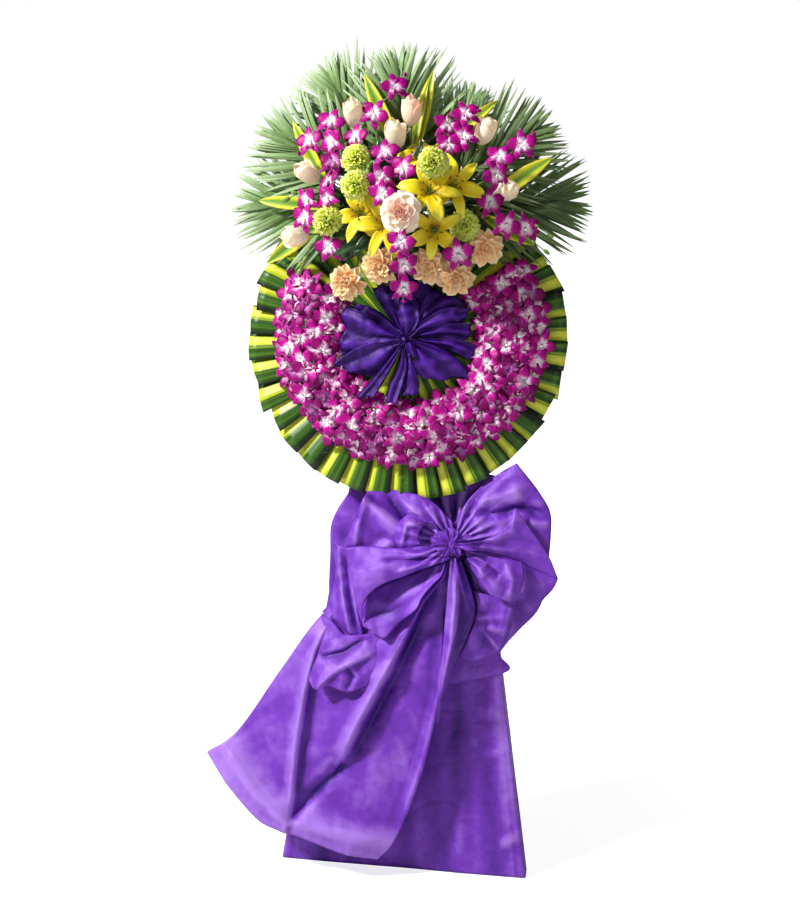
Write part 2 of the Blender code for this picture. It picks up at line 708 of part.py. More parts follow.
def frond(name, angle, layer, length, wreath):
    """A palm frond: pairs of narrow leaflets on both sides of an arched rachis."""
    turn = math.radians(angle)
    axis = Vector((math.cos(turn), 0, math.sin(turn)))
    across = Vector((-math.sin(turn), 0, math.cos(turn)))
    centre = Vector((FOAM_CENTRE.x, -layer * MM, FOAM_CENTRE.z))
    half = Vector((FOAM_SIZE[0] / 2, 0, FOAM_SIZE[2] / 2))
    edge = min(half.x / max(abs(axis.x), 1e-6), half.z / max(abs(axis.z), 1e-6))

    def at(out, side):
        bend = max(0, out - 0.66 * length) / (0.34 * length)
        return centre + axis * out + across * side + Vector((0, 16 * MM * bend**2 - 0.04 * abs(side), 0))

    pairs, first, last = 10, 124 * MM, length * 0.75
    bm = bmesh.new()
    step = (last - first) / pairs
    spine = [first + step * i for i in range(pairs + 1)]
    mid = [bm.verts.new(at(d, 0)) for d in spine]
    tip = bm.verts.new(at(length, 0))
    for side in (-1, 1):
        rim = [bm.verts.new(at(d, side * 2.6 * MM)) for d in spine]
        for i in range(pairs):
            splay = math.radians(46 - 34 * i / (pairs - 1))
            root = spine[i] + step * 0.5
            along, aside = math.cos(splay), math.sin(splay)
            to_rim = math.sqrt(length**2 - (root * aside) ** 2) - root * along
            reach = min(to_rim * (0.97 if i % 2 else 0.9), 165 * MM)
            knee = bm.verts.new(at(root + 0.4 * reach * along + step * 0.66, side * 0.4 * reach * aside))
            end = bm.verts.new(at(root + reach * along, side * reach * aside))
            bm.faces.new((mid[i], mid[i + 1], rim[i + 1]))
            bm.faces.new((mid[i], rim[i + 1], rim[i]))
            bm.faces.new((rim[i], rim[i + 1], knee))
            bm.faces.new((rim[i], knee, end))
        bm.faces.new((mid[-1], tip, rim[-1]))
    bmesh.ops.recalc_face_normals(bm, faces=bm.faces)
    back = bmesh.ops.extrude_face_region(bm, geom=bm.faces[:], use_keep_orig=True)
    moved = [v for v in back["geom"] if isinstance(v, bmesh.types.BMVert)]
    bmesh.ops.translate(bm, verts=moved, vec=(0, LEAF_THICK, 0))
    leaf = finish_mesh(bm, name)
    inner = edge - FROND_IN_FOAM
    core = centre + Vector((0, LEAF_THICK / 2, 0))
    stalk = rod([core + axis * inner, core + axis * (first + 40 * MM)], FROND_STALK)
    HOLES.append((core + axis * (edge + 14 * MM), core + axis * (inner - GAP), FROND_STALK + 2 * GAP))
    return fuse(name, [leaf, stalk], "palm", wreath)


def leaf_tuft(name, leaves, hole, side, wreath):
    """Long striped leaves from one short stalk, each (tip x, tip z, half width, lift) in mm."""
    heart = Vector(hole) * MM + Vector(OUTWARD[side]) * 14 * MM
    pieces = [into_foam(heart, hole, side, 3.5 * MM)]
    pieces.append(turned(((4 * MM, -7 * MM), (6 * MM, 0), (0, 7 * MM)), 6, Matrix.Translation(heart)))
    for x, z, half, lift in leaves:
        end = Vector((x * MM, heart.y, z * MM))
        along = end - heart
        length = along.length
        out, up = along.normalized(), Vector((0, -1, 0))
        frame = Matrix((out, up.cross(out), up)).transposed().to_4x4()
        place = Matrix.Translation(heart) @ frame
        stations = (
            (2 * MM, 0, 4 * MM, 1 * MM), (length * 0.35, lift * 0.4 * MM, half * 0.9 * MM, 2 * MM),
            (length * 0.68, lift * 0.8 * MM, half * MM, 2 * MM), (length, lift * MM, 0, 0),
        )
        pieces.append(blade(stations, 1.8 * MM, place))
    return fuse(name, pieces, "variegated_leaf", wreath)


def foam_block(wreath):
    bm = board(FOAM_SIZE)
    bmesh.ops.translate(bm, vec=FOAM_CENTRE, verts=bm.verts)
    cutters = [rod([mouth, end], radius) for mouth, end, radius in HOLES]
    mesh = combine(finish_mesh(bm, "foam"), cutters, "DIFFERENCE", "EXACT")
    return node("flower_foam", mesh, "foam", wreath)


LILY_BLOOMS = {                      # place, yaw, pitch, roll, petal length and hole, in mm and degrees
    "lilies_right": (
        ((62, -250, 264), 4, 8, -7, 56, (54, -142.5, 256), "front"),
        ((104, -215, 276), 16, 8, 46, 60, (84, -142.5, 266), "front"),
    ),
    "lilies_left": (
        ((-23, -225, 202), -8, -8, -3, 68, (-26, -142.5, 210), "front"),
        ((-72, -205, 224), -6, 4, 5, 54, (-70, -142.5, 228), "front"),
    ),
    "lily_low": (((70, -222, 190), 8, -14, 26, 54, (62, -142.5, 206), "front"),),
    "lily_top": (((32, -178, 349), 0, 46, 10, 42, (32, -125, 295), "top"),),
}
FULL_BLOOMS = {                      # place, yaw, pitch, petal layers and hole
    "carnation_upper_left": ((-86, -200, 327), -16, 18, CARNATION, (-74, -142.5, 284), "front"),
    "carnation_left": ((-77, -238, 272), -10, 6, CARNATION, (-84, -142.5, 258), "front"),
    "carnation_far_left": ((-141, -191, 211), -26, 0, CARNATION, (-115, -118, 218), "left"),
    "carnation_top": ((68, -254, 312), 6, 14, CARNATION, (62, -142.5, 284), "front"),
    "carnation_right": ((122, -188, 206), 16, 0, CARNATION, (96, -142.5, 214), "front"),
    "peach_far_left": ((-102, -152, 99), -12, -22, PEACH, (-84, -112, 185), "bottom"),
    "peach_left": ((-37, -165, 132), -4, -18, PEACH, (-36, -116, 185), "bottom"),
    "peach_middle": ((56, -165, 133), 4, -18, PEACH, (46, -116, 185), "bottom"),
    "peach_right": ((104, -155, 111), 8, -26, PEACH, (84, -112, 185), "bottom"),
    "peach_far_right": ((156, -152, 169), 22, -10, PEACH, (115, -108, 200), "right"),
    "rose_middle": ((14, -266, 219), 0, 0, ROSE, (14, -142.5, 222), "front"),
}
BUDS = {                             # place, yaw, pitch, size and hole
    "bud_top_left": ((-100, -142, 418), -14, 62, 1.0, (-64, -110, 295), "top"),
    "bud_top": ((10, -146, 422), 4, 68, 1.0, (8, -110, 295), "top"),
    "bud_upper": ((-17, -160, 376), -8, 52, 1.05, (-14, -110, 295), "top"),
    "bud_left": ((-187, -142, 306), -50, 24, 1.0, (-115, -110, 276), "left"),
    "bud_upper_right": ((150, -142, 385), 34, 48, 1.0, (92, -110, 295), "top"),
    "bud_right": ((192, -142, 274), 56, 6, 1.0, (115, -110, 260), "right"),
    "bud_low_left": ((-209, -140, 187), -56, -8, 1.0, (-115, -110, 204), "left"),
}
ORCHID_SPRAYS = {                    # florets as place, yaw, pitch and roll, tip first, and the hole
    "orchids_upper_left": (
        ((-179, -150, 361, -20, 10, 10), (-138, -160, 394, -10, 25, -20), (-132, -168, 356, -10, 10, 30),
         (-88, -168, 364, -6, 10, 0)),
        (-84, -125, 295), "top",
    ),
    "orchids_top": (
        ((-21, -148, 460, 0, 30, 15), (-58, -150, 411, -20, 20, -30)),
        (-44, -125, 295), "top",
    ),
    "orchids_left": (
        ((-128, -175, 318, -14, 10, -12), (-134, -177, 282, -20, 6, 20), (-136, -180, 252, -16, 0, 40)),
        (-115, -125, 256), "left",
    ),
    "orchids_lower_left": (
        ((-134, -164, 164, -10, -16, 8), (-180, -170, 216, -30, 0, -24), (-176, -166, 250, -16, 0, 30)),
        (-115, -125, 238), "left",
    ),
    "orchids_middle": (
        ((-28, -195, 332, 0, 10, 6), (9, -208, 302, 6, 6, -30), (-28, -230, 284, -6, 0, 24),
         (-21, -246, 252, 0, 0, -8)),
        (-24, -142.5, 258), "front",
    ),
    "orchids_upper_right": (
        ((114, -160, 408, 16, 30, 22), (80, -150, 390, 0, 20, -14), (112, -168, 366, 10, 14, 40),
         (84, -166, 350, 0, 10, -30)),
        (70, -125, 295), "top",
    ),
    "orchids_right": (
        ((217, -150, 355, 30, 14, 10), (178, -162, 330, 20, 10, -26), (172, -166, 298, 20, 0, 30)),
        (115, -125, 274), "right",
    ),
    "orchids_lower_right": (
        ((228, -150, 203, 30, 0, 16), (194, -176, 208, 14, -6, -20), (164, -172, 247, 20, 0, 8)),
        (115, -125, 236), "right",
    ),
    "orchids_hanging": (
        ((11, -182, 91, 0, -24, 0), (13, -200, 130, 0, -10, 26), (15, -248, 168, 0, -4, -14)),
        (0, -142.5, 200), "front",
    ),
}
FRONDS = (                           # angle, layer's depth and length
    (177, 70, 355), (150, 86, 345), (122, 70, 352), (95, 86, 322), (62, 70, 278), (33, 86, 332), (5, 70, 352),
)
LEAF_TUFTS = {                       # leaves as tip x, tip z, half width and lift, and the hole
    "striped_leaves_top": (((-89, 497, 14, 4), (43, 503, 12, 0), (168, 448, 12, 6)), (4, -98, 295), "top"),
    "striped_leaves_left": (
        ((-226, 409, 13, 2), (-290, 257, 13, 4), (-271, 137, 15, 6)), (-115, -98, 242), "left",
    ),
    "striped_leaves_right": (((272, 343, 15, 2), (245, 180, 13, 4)), (115, -98, 242), "right"),
}


def spray(wreath):
    for name, blooms in LILY_BLOOMS.items():
        pieces = []
        for at, yaw, pitch, roll, petal, hole, side in blooms:
            pieces += lily(facing(Vector(at) * MM, yaw, pitch, roll), petal * MM, hole, side)
        fuse(name, pieces, "lily", wreath)
    for name, (at, yaw, pitch, layers, hole, side) in FULL_BLOOMS.items():
        colour = "green_carnation" if layers is CARNATION else "peach_petal"
        fuse(name, layered(facing(Vector(at) * MM, yaw, pitch), layers, hole, side), colour, wreath)
    for name, (at, yaw, pitch, size, hole, side) in BUDS.items():
        fuse(name, bud(facing(Vector(at) * MM, yaw, pitch), hole, side, size), "cream_bud", wreath)
    for name, (florets, hole, side) in ORCHID_SPRAYS.items():
        fuse(name, orchid_spray(florets, hole, side), "orchid", wreath)
    for i, (angle, layer, length) in enumerate(FRONDS):
        frond(f"palm_frond_{i + 1}", angle, layer, length * MM, wreath)
    for name, (leaves, hole, side) in LEAF_TUFTS.items():
        leaf_tuft(name, leaves, hole, side, wreath)
    foam_block(wreath)


clear_scene()
PARTS = collection("funeral_wreath")
CUTTERS = collection("working_shapes")
stand = empty("stand", location=STAND_SHIFT)
leaning_face = empty("leaning_face", parent=stand, lean=LEAN)
easel = empty("easel", parent=leaning_face, location=(EASEL_X, 0, 0))
wreath_centre = empty("wreath_centre", parent=leaning_face, location=(WREATH_X, 0, WREATH_LEVEL))

front_leg("leg_left", -1, easel)
front_leg("leg_right", 1, easel)
for bar, bar_level in BAR_LEVELS.items():
    cross_bar(bar, bar_level, easel)
back_leg(easel)

wreath_pad(wreath_centre)
folded_leaves(wreath_centre)
orchid_band("orchid_band_left", BAND_START, BAND_SEAM, wreath_centre)
orchid_band("orchid_band_right", BAND_SEAM, BAND_END, wreath_centre)
rosette(wreath_centre)

skirt(easel)
bow(leaning_face, swag(leaning_face))

spray(wreath_centre)
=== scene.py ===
"""Looks of the standing funeral wreath: leaves, flowers, gathered cloth and easel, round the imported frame.

Shapes are drawn in millimetres in two frames of the leaning face. FACE has X to the viewer's right, Z up
the face and Y into the back, with Y = 0 on the front of the legs. WREATH is the same frame at the wreath's
centre. A piece's map runs across it and along it. Its tint and kind attributes choose within its finish.
"""

import math
import random

import bmesh
import bpy
from mathutils import Matrix, Vector, noise


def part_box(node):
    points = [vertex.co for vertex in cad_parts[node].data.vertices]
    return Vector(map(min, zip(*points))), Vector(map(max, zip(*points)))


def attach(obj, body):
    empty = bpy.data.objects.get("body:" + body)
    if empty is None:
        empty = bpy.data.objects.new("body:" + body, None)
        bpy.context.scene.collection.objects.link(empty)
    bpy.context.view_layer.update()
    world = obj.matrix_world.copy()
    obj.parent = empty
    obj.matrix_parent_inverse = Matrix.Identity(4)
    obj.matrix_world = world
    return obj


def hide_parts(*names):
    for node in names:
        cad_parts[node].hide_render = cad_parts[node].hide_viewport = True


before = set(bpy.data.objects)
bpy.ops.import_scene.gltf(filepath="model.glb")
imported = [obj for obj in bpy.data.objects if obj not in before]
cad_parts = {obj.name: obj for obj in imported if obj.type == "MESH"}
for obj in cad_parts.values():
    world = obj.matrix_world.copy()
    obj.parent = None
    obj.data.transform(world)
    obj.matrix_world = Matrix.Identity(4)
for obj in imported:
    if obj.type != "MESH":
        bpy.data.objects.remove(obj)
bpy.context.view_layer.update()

# Places and sizes that the pieces share, in mm and degrees
MILLI = Matrix.Scale(0.001, 4)
LEAN = math.radians(8)
EASEL_X = 10
WREATH_CENTRE = (-4, 0, 1070)
LEG_WIDTH, LEG_THICK, LEG_LENGTH = 38, 20, 1330
FOOT_HALF_SPAN, TOP_HALF_SPAN = 228, 26
BAR_THICK, BAR_LEVELS = 18, (250, 880, 1235)
PAD_RADIUS, PAD_DEPTH = 235, 53
LEAF_FRONT = 62
COLLAR_RADIUS, COLLAR_LEAVES = 311, 38
BAND_CENTRE_X, BAND_RADIUS, BAND_HALF_WIDTH = 8, 190, 58
BAND_START, BAND_SEAM, BAND_END = 150, 270, 395
FOAM_CENTRE, FOAM_SIZE = Vector((0, -102.5, 240)), (230, 80, 110)
FOAM_FRONT, FOAM_TOP = FOAM_CENTRE.y - FOAM_SIZE[1] / 2, FOAM_CENTRE.z + FOAM_SIZE[2] / 2
STEM_INSIDE = 14
KNOT = Vector((102, -84, 680))
CLOTH_THICK = 1.4
GOLDEN_TURN = 137.5


def leaning_face():
    """The face frame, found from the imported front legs."""
    left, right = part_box("leg_left"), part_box("leg_right")
    middle = (left[0].x + right[1].x) / 2 - EASEL_X / 1000
    return Matrix.Translation((middle, left[0].y, 0)) @ Matrix.Rotation(-LEAN, 4, "X") @ MILLI


FACE = leaning_face()
WREATH = FACE @ Matrix.Translation(WREATH_CENTRE)


# Material nodes


def srgb(red, green, blue):
    """A colour of 0 to 255 in Blender's linear values."""
    def linear(value):
        share = value / 255
        return share / 12.92 if share <= 0.04045 else ((share + 0.055) / 1.055) ** 2.4
    return (linear(red), linear(green), linear(blue), 1.0)


def add_node(tree, kind, sockets=None, **settings):
    made = tree.nodes.new("ShaderNode" + kind)
    for name, value in settings.items():
        setattr(made, name, value)
    for key, value in (sockets or {}).items():
        if isinstance(value, bpy.types.NodeSocket):
            tree.links.new(value, made.inputs[key])
        else:
            made.inputs[key].default_value = value
    return made


def blended(tree, factor, first, second, how="MIX"):
    """Two colours mixed. Inputs 6 and 7 of the Mix node take colours, and its output 2 gives one."""
    mixed = add_node(tree, "Mix", {0: factor, 6: first, 7: second}, data_type="RGBA", blend_type=how)
    return mixed.outputs[2]


def ramp(tree, factor, stops):
    """Colours, as srgb values, at places from 0 to 1."""
    made = add_node(tree, "ValToRGB", {0: factor})
    elements = made.color_ramp.elements
    elements.remove(elements[1])
    elements[0].position = stops[0][0]
    elements[0].color = srgb(*stops[0][1])
    for position, colour in stops[1:]:
        elements.new(position).color = srgb(*colour)
    return made.outputs[0]


def value_of(tree, operation, *values):
    return add_node(tree, "Math", dict(enumerate(values)), operation=operation).outputs[0]


def spread(tree, value, low, high, start=0.0, end=1.0):
    """A value that runs from start to end, spread between low and high."""
    sockets = {"Value": value, "From Min": start, "From Max": end, "To Min": low, "To Max": high}
    return add_node(tree, "MapRange", sockets).outputs[0]


def attribute(tree, name):
    return add_node(tree, "Attribute", attribute_name=name).outputs["Fac"]


def object_place(tree):
    return add_node(tree, "TexCoord").outputs["Object"]


def shader_group(name, inputs, outputs, fill):
    tree = bpy.data.node_groups.new(name, "ShaderNodeTree")
    for socket, value in inputs.items():
        kind = "NodeSocketFloat" if value is not None else "NodeSocketVector"
        made = tree.interface.new_socket(socket, in_out="INPUT", socket_type=kind)
        if value is not None:
            made.default_value = value
    for socket in outputs:
        tree.interface.new_socket(socket, in_out="OUTPUT", socket_type="NodeSocketFloat")
    given = tree.nodes.new("NodeGroupInput")
    result = tree.nodes.new("NodeGroupOutput")
    for socket, value in fill(tree, given.outputs).items():
        tree.links.new(value, result.inputs[socket])
    return tree


def streaks_group():
    """Fine fibres or veins that run along a surface's second coordinate."""
    def fill(tree, given):
        scales = add_node(tree, "CombineXYZ", {0: given["Across"], 1: given["Along"], 2: 1.0}).outputs[0]
        placed = add_node(tree, "VectorMath", {0: given["Vector"], 1: scales}, operation="MULTIPLY")
        grain = add_node(tree, "TexNoise", {"Vector": placed.outputs[0], "Scale": 1.0, "Detail": 2.0})
        return {"Mask": spread(tree, grain.outputs["Fac"], 0.0, 1.0, 0.3, 0.7)}
    return shader_group("streaks", {"Vector": None, "Across": 30.0, "Along": 2.0}, ["Mask"], fill)


def mottle_group():
    """Soft patches of a given size over a surface."""
    def fill(tree, given):
        sockets = {"Vector": object_place(tree), "Scale": given["Scale"], "Detail": 3.0}
        patches = add_node(tree, "TexNoise", sockets).outputs["Fac"]
        return {"Mask": spread(tree, patches, 0.0, 1.0, 0.32, 0.68)}
    return shader_group("mottle", {"Scale": 10.0}, ["Mask"], fill)


def drops_group():
    """Small water drops that gather in places on the leaves."""
    def fill(tree, given):
        at = object_place(tree)
        cells = add_node(tree, "TexVoronoi", {"Vector": at, "Scale": given["Scale"], "Randomness": 1.0})
        where = add_node(tree, "TexNoise", {"Vector": at, "Scale": 26.0, "Detail": 2.0}).outputs["Fac"]
        size = spread(tree, where, 0.0, 0.34, 0.5, 0.75)
        inside = value_of(tree, "SUBTRACT", size, cells.outputs["Distance"])
        return {"Mask": spread(tree, inside, 0.0, 1.0, 0.0, 0.12)}
    return shader_group("drops", {"Scale": 300.0}, ["Mask"], fill)


def fabric_group():
    """The pressed dimples, matted fibres and sharp wrinkles of non-woven cloth, as a height."""
    def fill(tree, given):
        at = object_place(tree)
        dimples = add_node(tree, "TexVoronoi", {"Vector": at, "Scale": given["Dimples"], "Randomness": 0.25})
        fibres = add_node(tree, "TexNoise", {"Vector": at, "Scale": given["Fibres"], "Detail": 4.0})
        pressed = spread(tree, dimples.outputs["Distance"], 0.0, 1.0, 0.0, 0.5)
        both = value_of(tree, "MULTIPLY_ADD", fibres.outputs["Fac"], 0.8, pressed)
        bent = add_node(tree, "TexNoise", {"Vector": at, "Scale": 9.0, "Detail": 2.0}).outputs["Color"]
        bent = add_node(tree, "VectorMath", {0: bent, 1: (0.05, 0.05, 0.05)}, operation="MULTIPLY")
        moved = add_node(tree, "VectorMath", {0: at, 1: bent.outputs[0]}, operation="ADD").outputs[0]
        sockets = {"Vector": moved, "Scale": given["Wrinkles"]}
        cells = add_node(tree, "TexVoronoi", sockets, feature="DISTANCE_TO_EDGE")
        wrinkle = spread(tree, cells.outputs["Distance"], 0.0, 1.0, 0.0, 0.22)
        return {"Height": value_of(tree, "MULTIPLY_ADD", wrinkle, given["Depth"], both)}
    inputs = {"Dimples": 520.0, "Fibres": 900.0, "Wrinkles": 17.0, "Depth": 5.0}
    return shader_group("fabric", inputs, ["Height"], fill)


STREAKS, MOTTLE, DROPS, FABRIC = streaks_group(), mottle_group(), drops_group(), fabric_group()


def grouped(tree, group, output, **sockets):
    return add_node(tree, "Group", sockets, node_tree=group).outputs[output]


def finish(name, build, roughness, bump=None, **plain):
    """A material. build(tree) gives its colour, height or glow, bump is the height's strength and its depth
    in metres, and plain sets the shader's other sockets."""
    made = bpy.data.materials.new(name)
    made.use_nodes = True
    tree = made.node_tree
    shader = tree.nodes["Principled BSDF"]
    shader.inputs["Roughness"].default_value = roughness
    for socket, value in plain.items():
        shader.inputs[socket.replace("_", " ")].default_value = value
    found = build(tree)
    for key, socket in (("colour", "Base Color"), ("glow", "Emission Strength")):
        if key in found:
            tree.links.new(found[key], shader.inputs[socket])
    if "height" in found:
        relief = add_node(tree, "Bump", {"Strength": bump[0], "Distance": bump[1], "Height": found["height"]})
        tree.links.new(relief.outputs["Normal"], shader.inputs["Normal"])
    return made


def surface_place(tree):
    """The piece's own UV map: its vector, across and along."""
    uv = add_node(tree, "TexCoord").outputs["UV"]
    parts = add_node(tree, "SeparateXYZ", {0: uv})
    return uv, parts.outputs[0], parts.outputs[1]


def cloth_finish(name, dark, middle, light, shine):
    """Cloth that is deeper in its valleys and paler along its creases, as the tint attribute says: painted
    shade and painted highlight, with random patches.
    """
    def build(tree):
        broad = grouped(tree, MOTTLE, "Mask", Scale=7.0)
        small = grouped(tree, MOTTLE, "Mask", Scale=60.0)
        patches = value_of(tree, "MULTIPLY_ADD", small, 0.1, value_of(tree, "MULTIPLY", broad, 0.16))
        both = value_of(tree, "ADD", attribute(tree, "tint"), value_of(tree, "SUBTRACT", patches, 0.13))
        colour = ramp(tree, both, ((0.12, dark), (0.5, middle), (0.9, light)))
        return {"colour": colour, "height": grouped(tree, FABRIC, "Height")}
    return finish(name, build, 0.46, (0.5, 0.0004), Specular_IOR_Level=shine,
                  Specular_Tint=(0.62, 0.4, 1.0, 1.0))


def petal_finish(name, along, veins, roughness=0.5, tints=(0.75, 1.15), blush=(255, 255, 255), **plain):
    """Colour along a petal, with veins and a shade of its own for each bloom. The kind attribute adds the
    blush."""
    def build(tree):
        uv, _, v = surface_place(tree)
        vein = grouped(tree, STREAKS, "Mask", Vector=uv, Across=14.0, Along=1.3)
        base = ramp(tree, v, along)
        warm = blended(tree, 1.0, base, srgb(*blush), "MULTIPLY")
        base = blended(tree, attribute(tree, "kind"), base, warm)
        own = spread(tree, attribute(tree, "tint"), *tints)
        shade = value_of(tree, "MULTIPLY", own, spread(tree, vein, 1 - veins, 1 + veins * 0.5))
        grey = add_node(tree, "CombineColor", {0: shade, 1: shade, 2: shade}).outputs[0]
        return {"colour": blended(tree, 1.0, base, grey, "MULTIPLY"), "height": vein}
    return finish(name, build, roughness, (0.25, 0.0003), Specular_IOR_Level=0.35, **plain)


def orchid_finish():
    """Petals, sepals, lip and column, told apart by the kind attribute, and deeper where the tint is low."""
    petals = ((0.0, (255, 252, 255)), (0.2, (255, 234, 248)), (0.35, (204, 16, 160)), (0.55, (172, 0, 126)),
              (1.0, (122, 0, 88)))
    sepals = ((0.0, (255, 252, 255)), (0.3, (254, 230, 246)), (0.48, (192, 8, 148)), (0.88, (154, 0, 116)),
              (1.0, (222, 130, 206)))
    lip = ((0.0, (255, 246, 240)), (0.4, (244, 205, 228)), (0.7, (170, 10, 130)), (1.0, (120, 0, 90)))
    column = ((0.0, (250, 250, 240)), (1.0, (252, 246, 250)))

    def build(tree):
        uv, _, v = surface_place(tree)
        kind = attribute(tree, "kind")
        vein = grouped(tree, STREAKS, "Mask", Vector=uv, Across=14.0, Along=1.0)
        pushed = value_of(tree, "ADD", v, spread(tree, vein, -0.12, 0.12))
        colour = ramp(tree, pushed, petals)
        for step, stops in enumerate((sepals, lip, column)):
            here = spread(tree, kind, 0.0, 1.0, step + 0.4, step + 0.6)
            colour = blended(tree, here, colour, ramp(tree, pushed, stops))
        dark = blended(tree, 1.0, colour, srgb(176, 90, 176), "MULTIPLY")
        shade = spread(tree, attribute(tree, "tint"), 0.0, 1.0, 0.5, 0.0)
        return {"colour": blended(tree, shade, colour, dark), "height": vein}
    return finish("orchid", build, 0.45, (0.25, 0.0003), Specular_IOR_Level=0.2)


def leaf_finish(name, stops, centred, wet, roughness=0.38):
    """A striped leaf: colours across it, or outwards from its midrib, with fine streaks and raised drops that
    are whitened as a painted highlight.
    """
    def build(tree):
        uv, place, _ = surface_place(tree)
        if centred:
            place = value_of(tree, "ABSOLUTE", value_of(tree, "MULTIPLY_ADD", place, 2.0, -1.0))
        fine = grouped(tree, STREAKS, "Mask", Vector=uv, Across=46.0, Along=1.6)
        broad = grouped(tree, STREAKS, "Mask", Vector=uv, Across=13.0, Along=0.9)
        shift = value_of(tree, "ADD", spread(tree, fine, -0.035, 0.035), spread(tree, broad, -0.06, 0.06))
        own = value_of(tree, "MULTIPLY_ADD", attribute(tree, "tint"), 0.32, -0.16)
        striped = ramp(tree, value_of(tree, "ADD", value_of(tree, "ADD", place, shift), own), stops)
        drops = grouped(tree, DROPS, "Mask", Scale=260.0)
        # Painted highlight: wet sets how strongly the drops whiten the leaf as glints
        drop_glints = blended(tree, value_of(tree, "MULTIPLY", drops, wet), striped, srgb(214, 226, 206))
        height = value_of(tree, "MULTIPLY_ADD", drops, 2.0, fine)
        return {"colour": drop_glints, "height": height}
    return finish(name, build, roughness, (0.4, 0.0004), Coat_Weight=0.12, Coat_Roughness=0.3,
                  Specular_IOR_Level=0.35)


def palm_finish():
    """Deep green where the tint is high and pale where it is low, and paler towards each leaflet's tip."""
    def build(tree):
        uv, _, v = surface_place(tree)
        fine = grouped(tree, STREAKS, "Mask", Vector=uv, Across=9.0, Along=3.0)
        deep = ramp(tree, v, ((0.0, (8, 32, 2)), (0.5, (28, 70, 8)), (1.0, (82, 118, 34))))
        pale = ramp(tree, v, ((0.0, (48, 92, 22)), (0.45, (110, 152, 80)), (1.0, (194, 216, 172))))
        colour = blended(tree, attribute(tree, "tint"), pale, deep)
        lit = blended(tree, value_of(tree, "MULTIPLY", fine, 0.3), colour, srgb(190, 204, 150))
        return {"colour": lit, "height": fine}
    return finish("palm_leaf", build, 0.5, (0.4, 0.0005), Specular_IOR_Level=0.35)


def plain_finish(name, dark, light, scale, roughness, bump=(0.4, 0.0004), **plain):
    """A mottled natural surface between two colours."""
    def build(tree):
        mask = grouped(tree, MOTTLE, "Mask", Scale=scale)
        return {"colour": ramp(tree, mask, ((0.0, dark), (1.0, light))), "height": mask}
    return finish(name, build, roughness, bump, **plain)


def wood_finish():
    """Sawn wood, with bands and pores along the grain attribute."""
    def build(tree):
        at = add_node(tree, "Attribute", attribute_name="grain").outputs["Vector"]
        bands = grouped(tree, STREAKS, "Mask", Vector=at, Across=90.0, Along=3.0)
        pores = grouped(tree, STREAKS, "Mask", Vector=at, Across=700.0, Along=22.0)
        both = value_of(tree, "MULTIPLY_ADD", pores, 0.4, value_of(tree, "MULTIPLY", bands, 0.6))
        colour = ramp(tree, both, ((0.0, (122, 84, 48)), (0.5, (176, 132, 84)), (1.0, (206, 166, 116))))
        return {"colour": colour, "height": both}
    return finish("pale_wood", build, 0.62, (0.5, 0.0006))


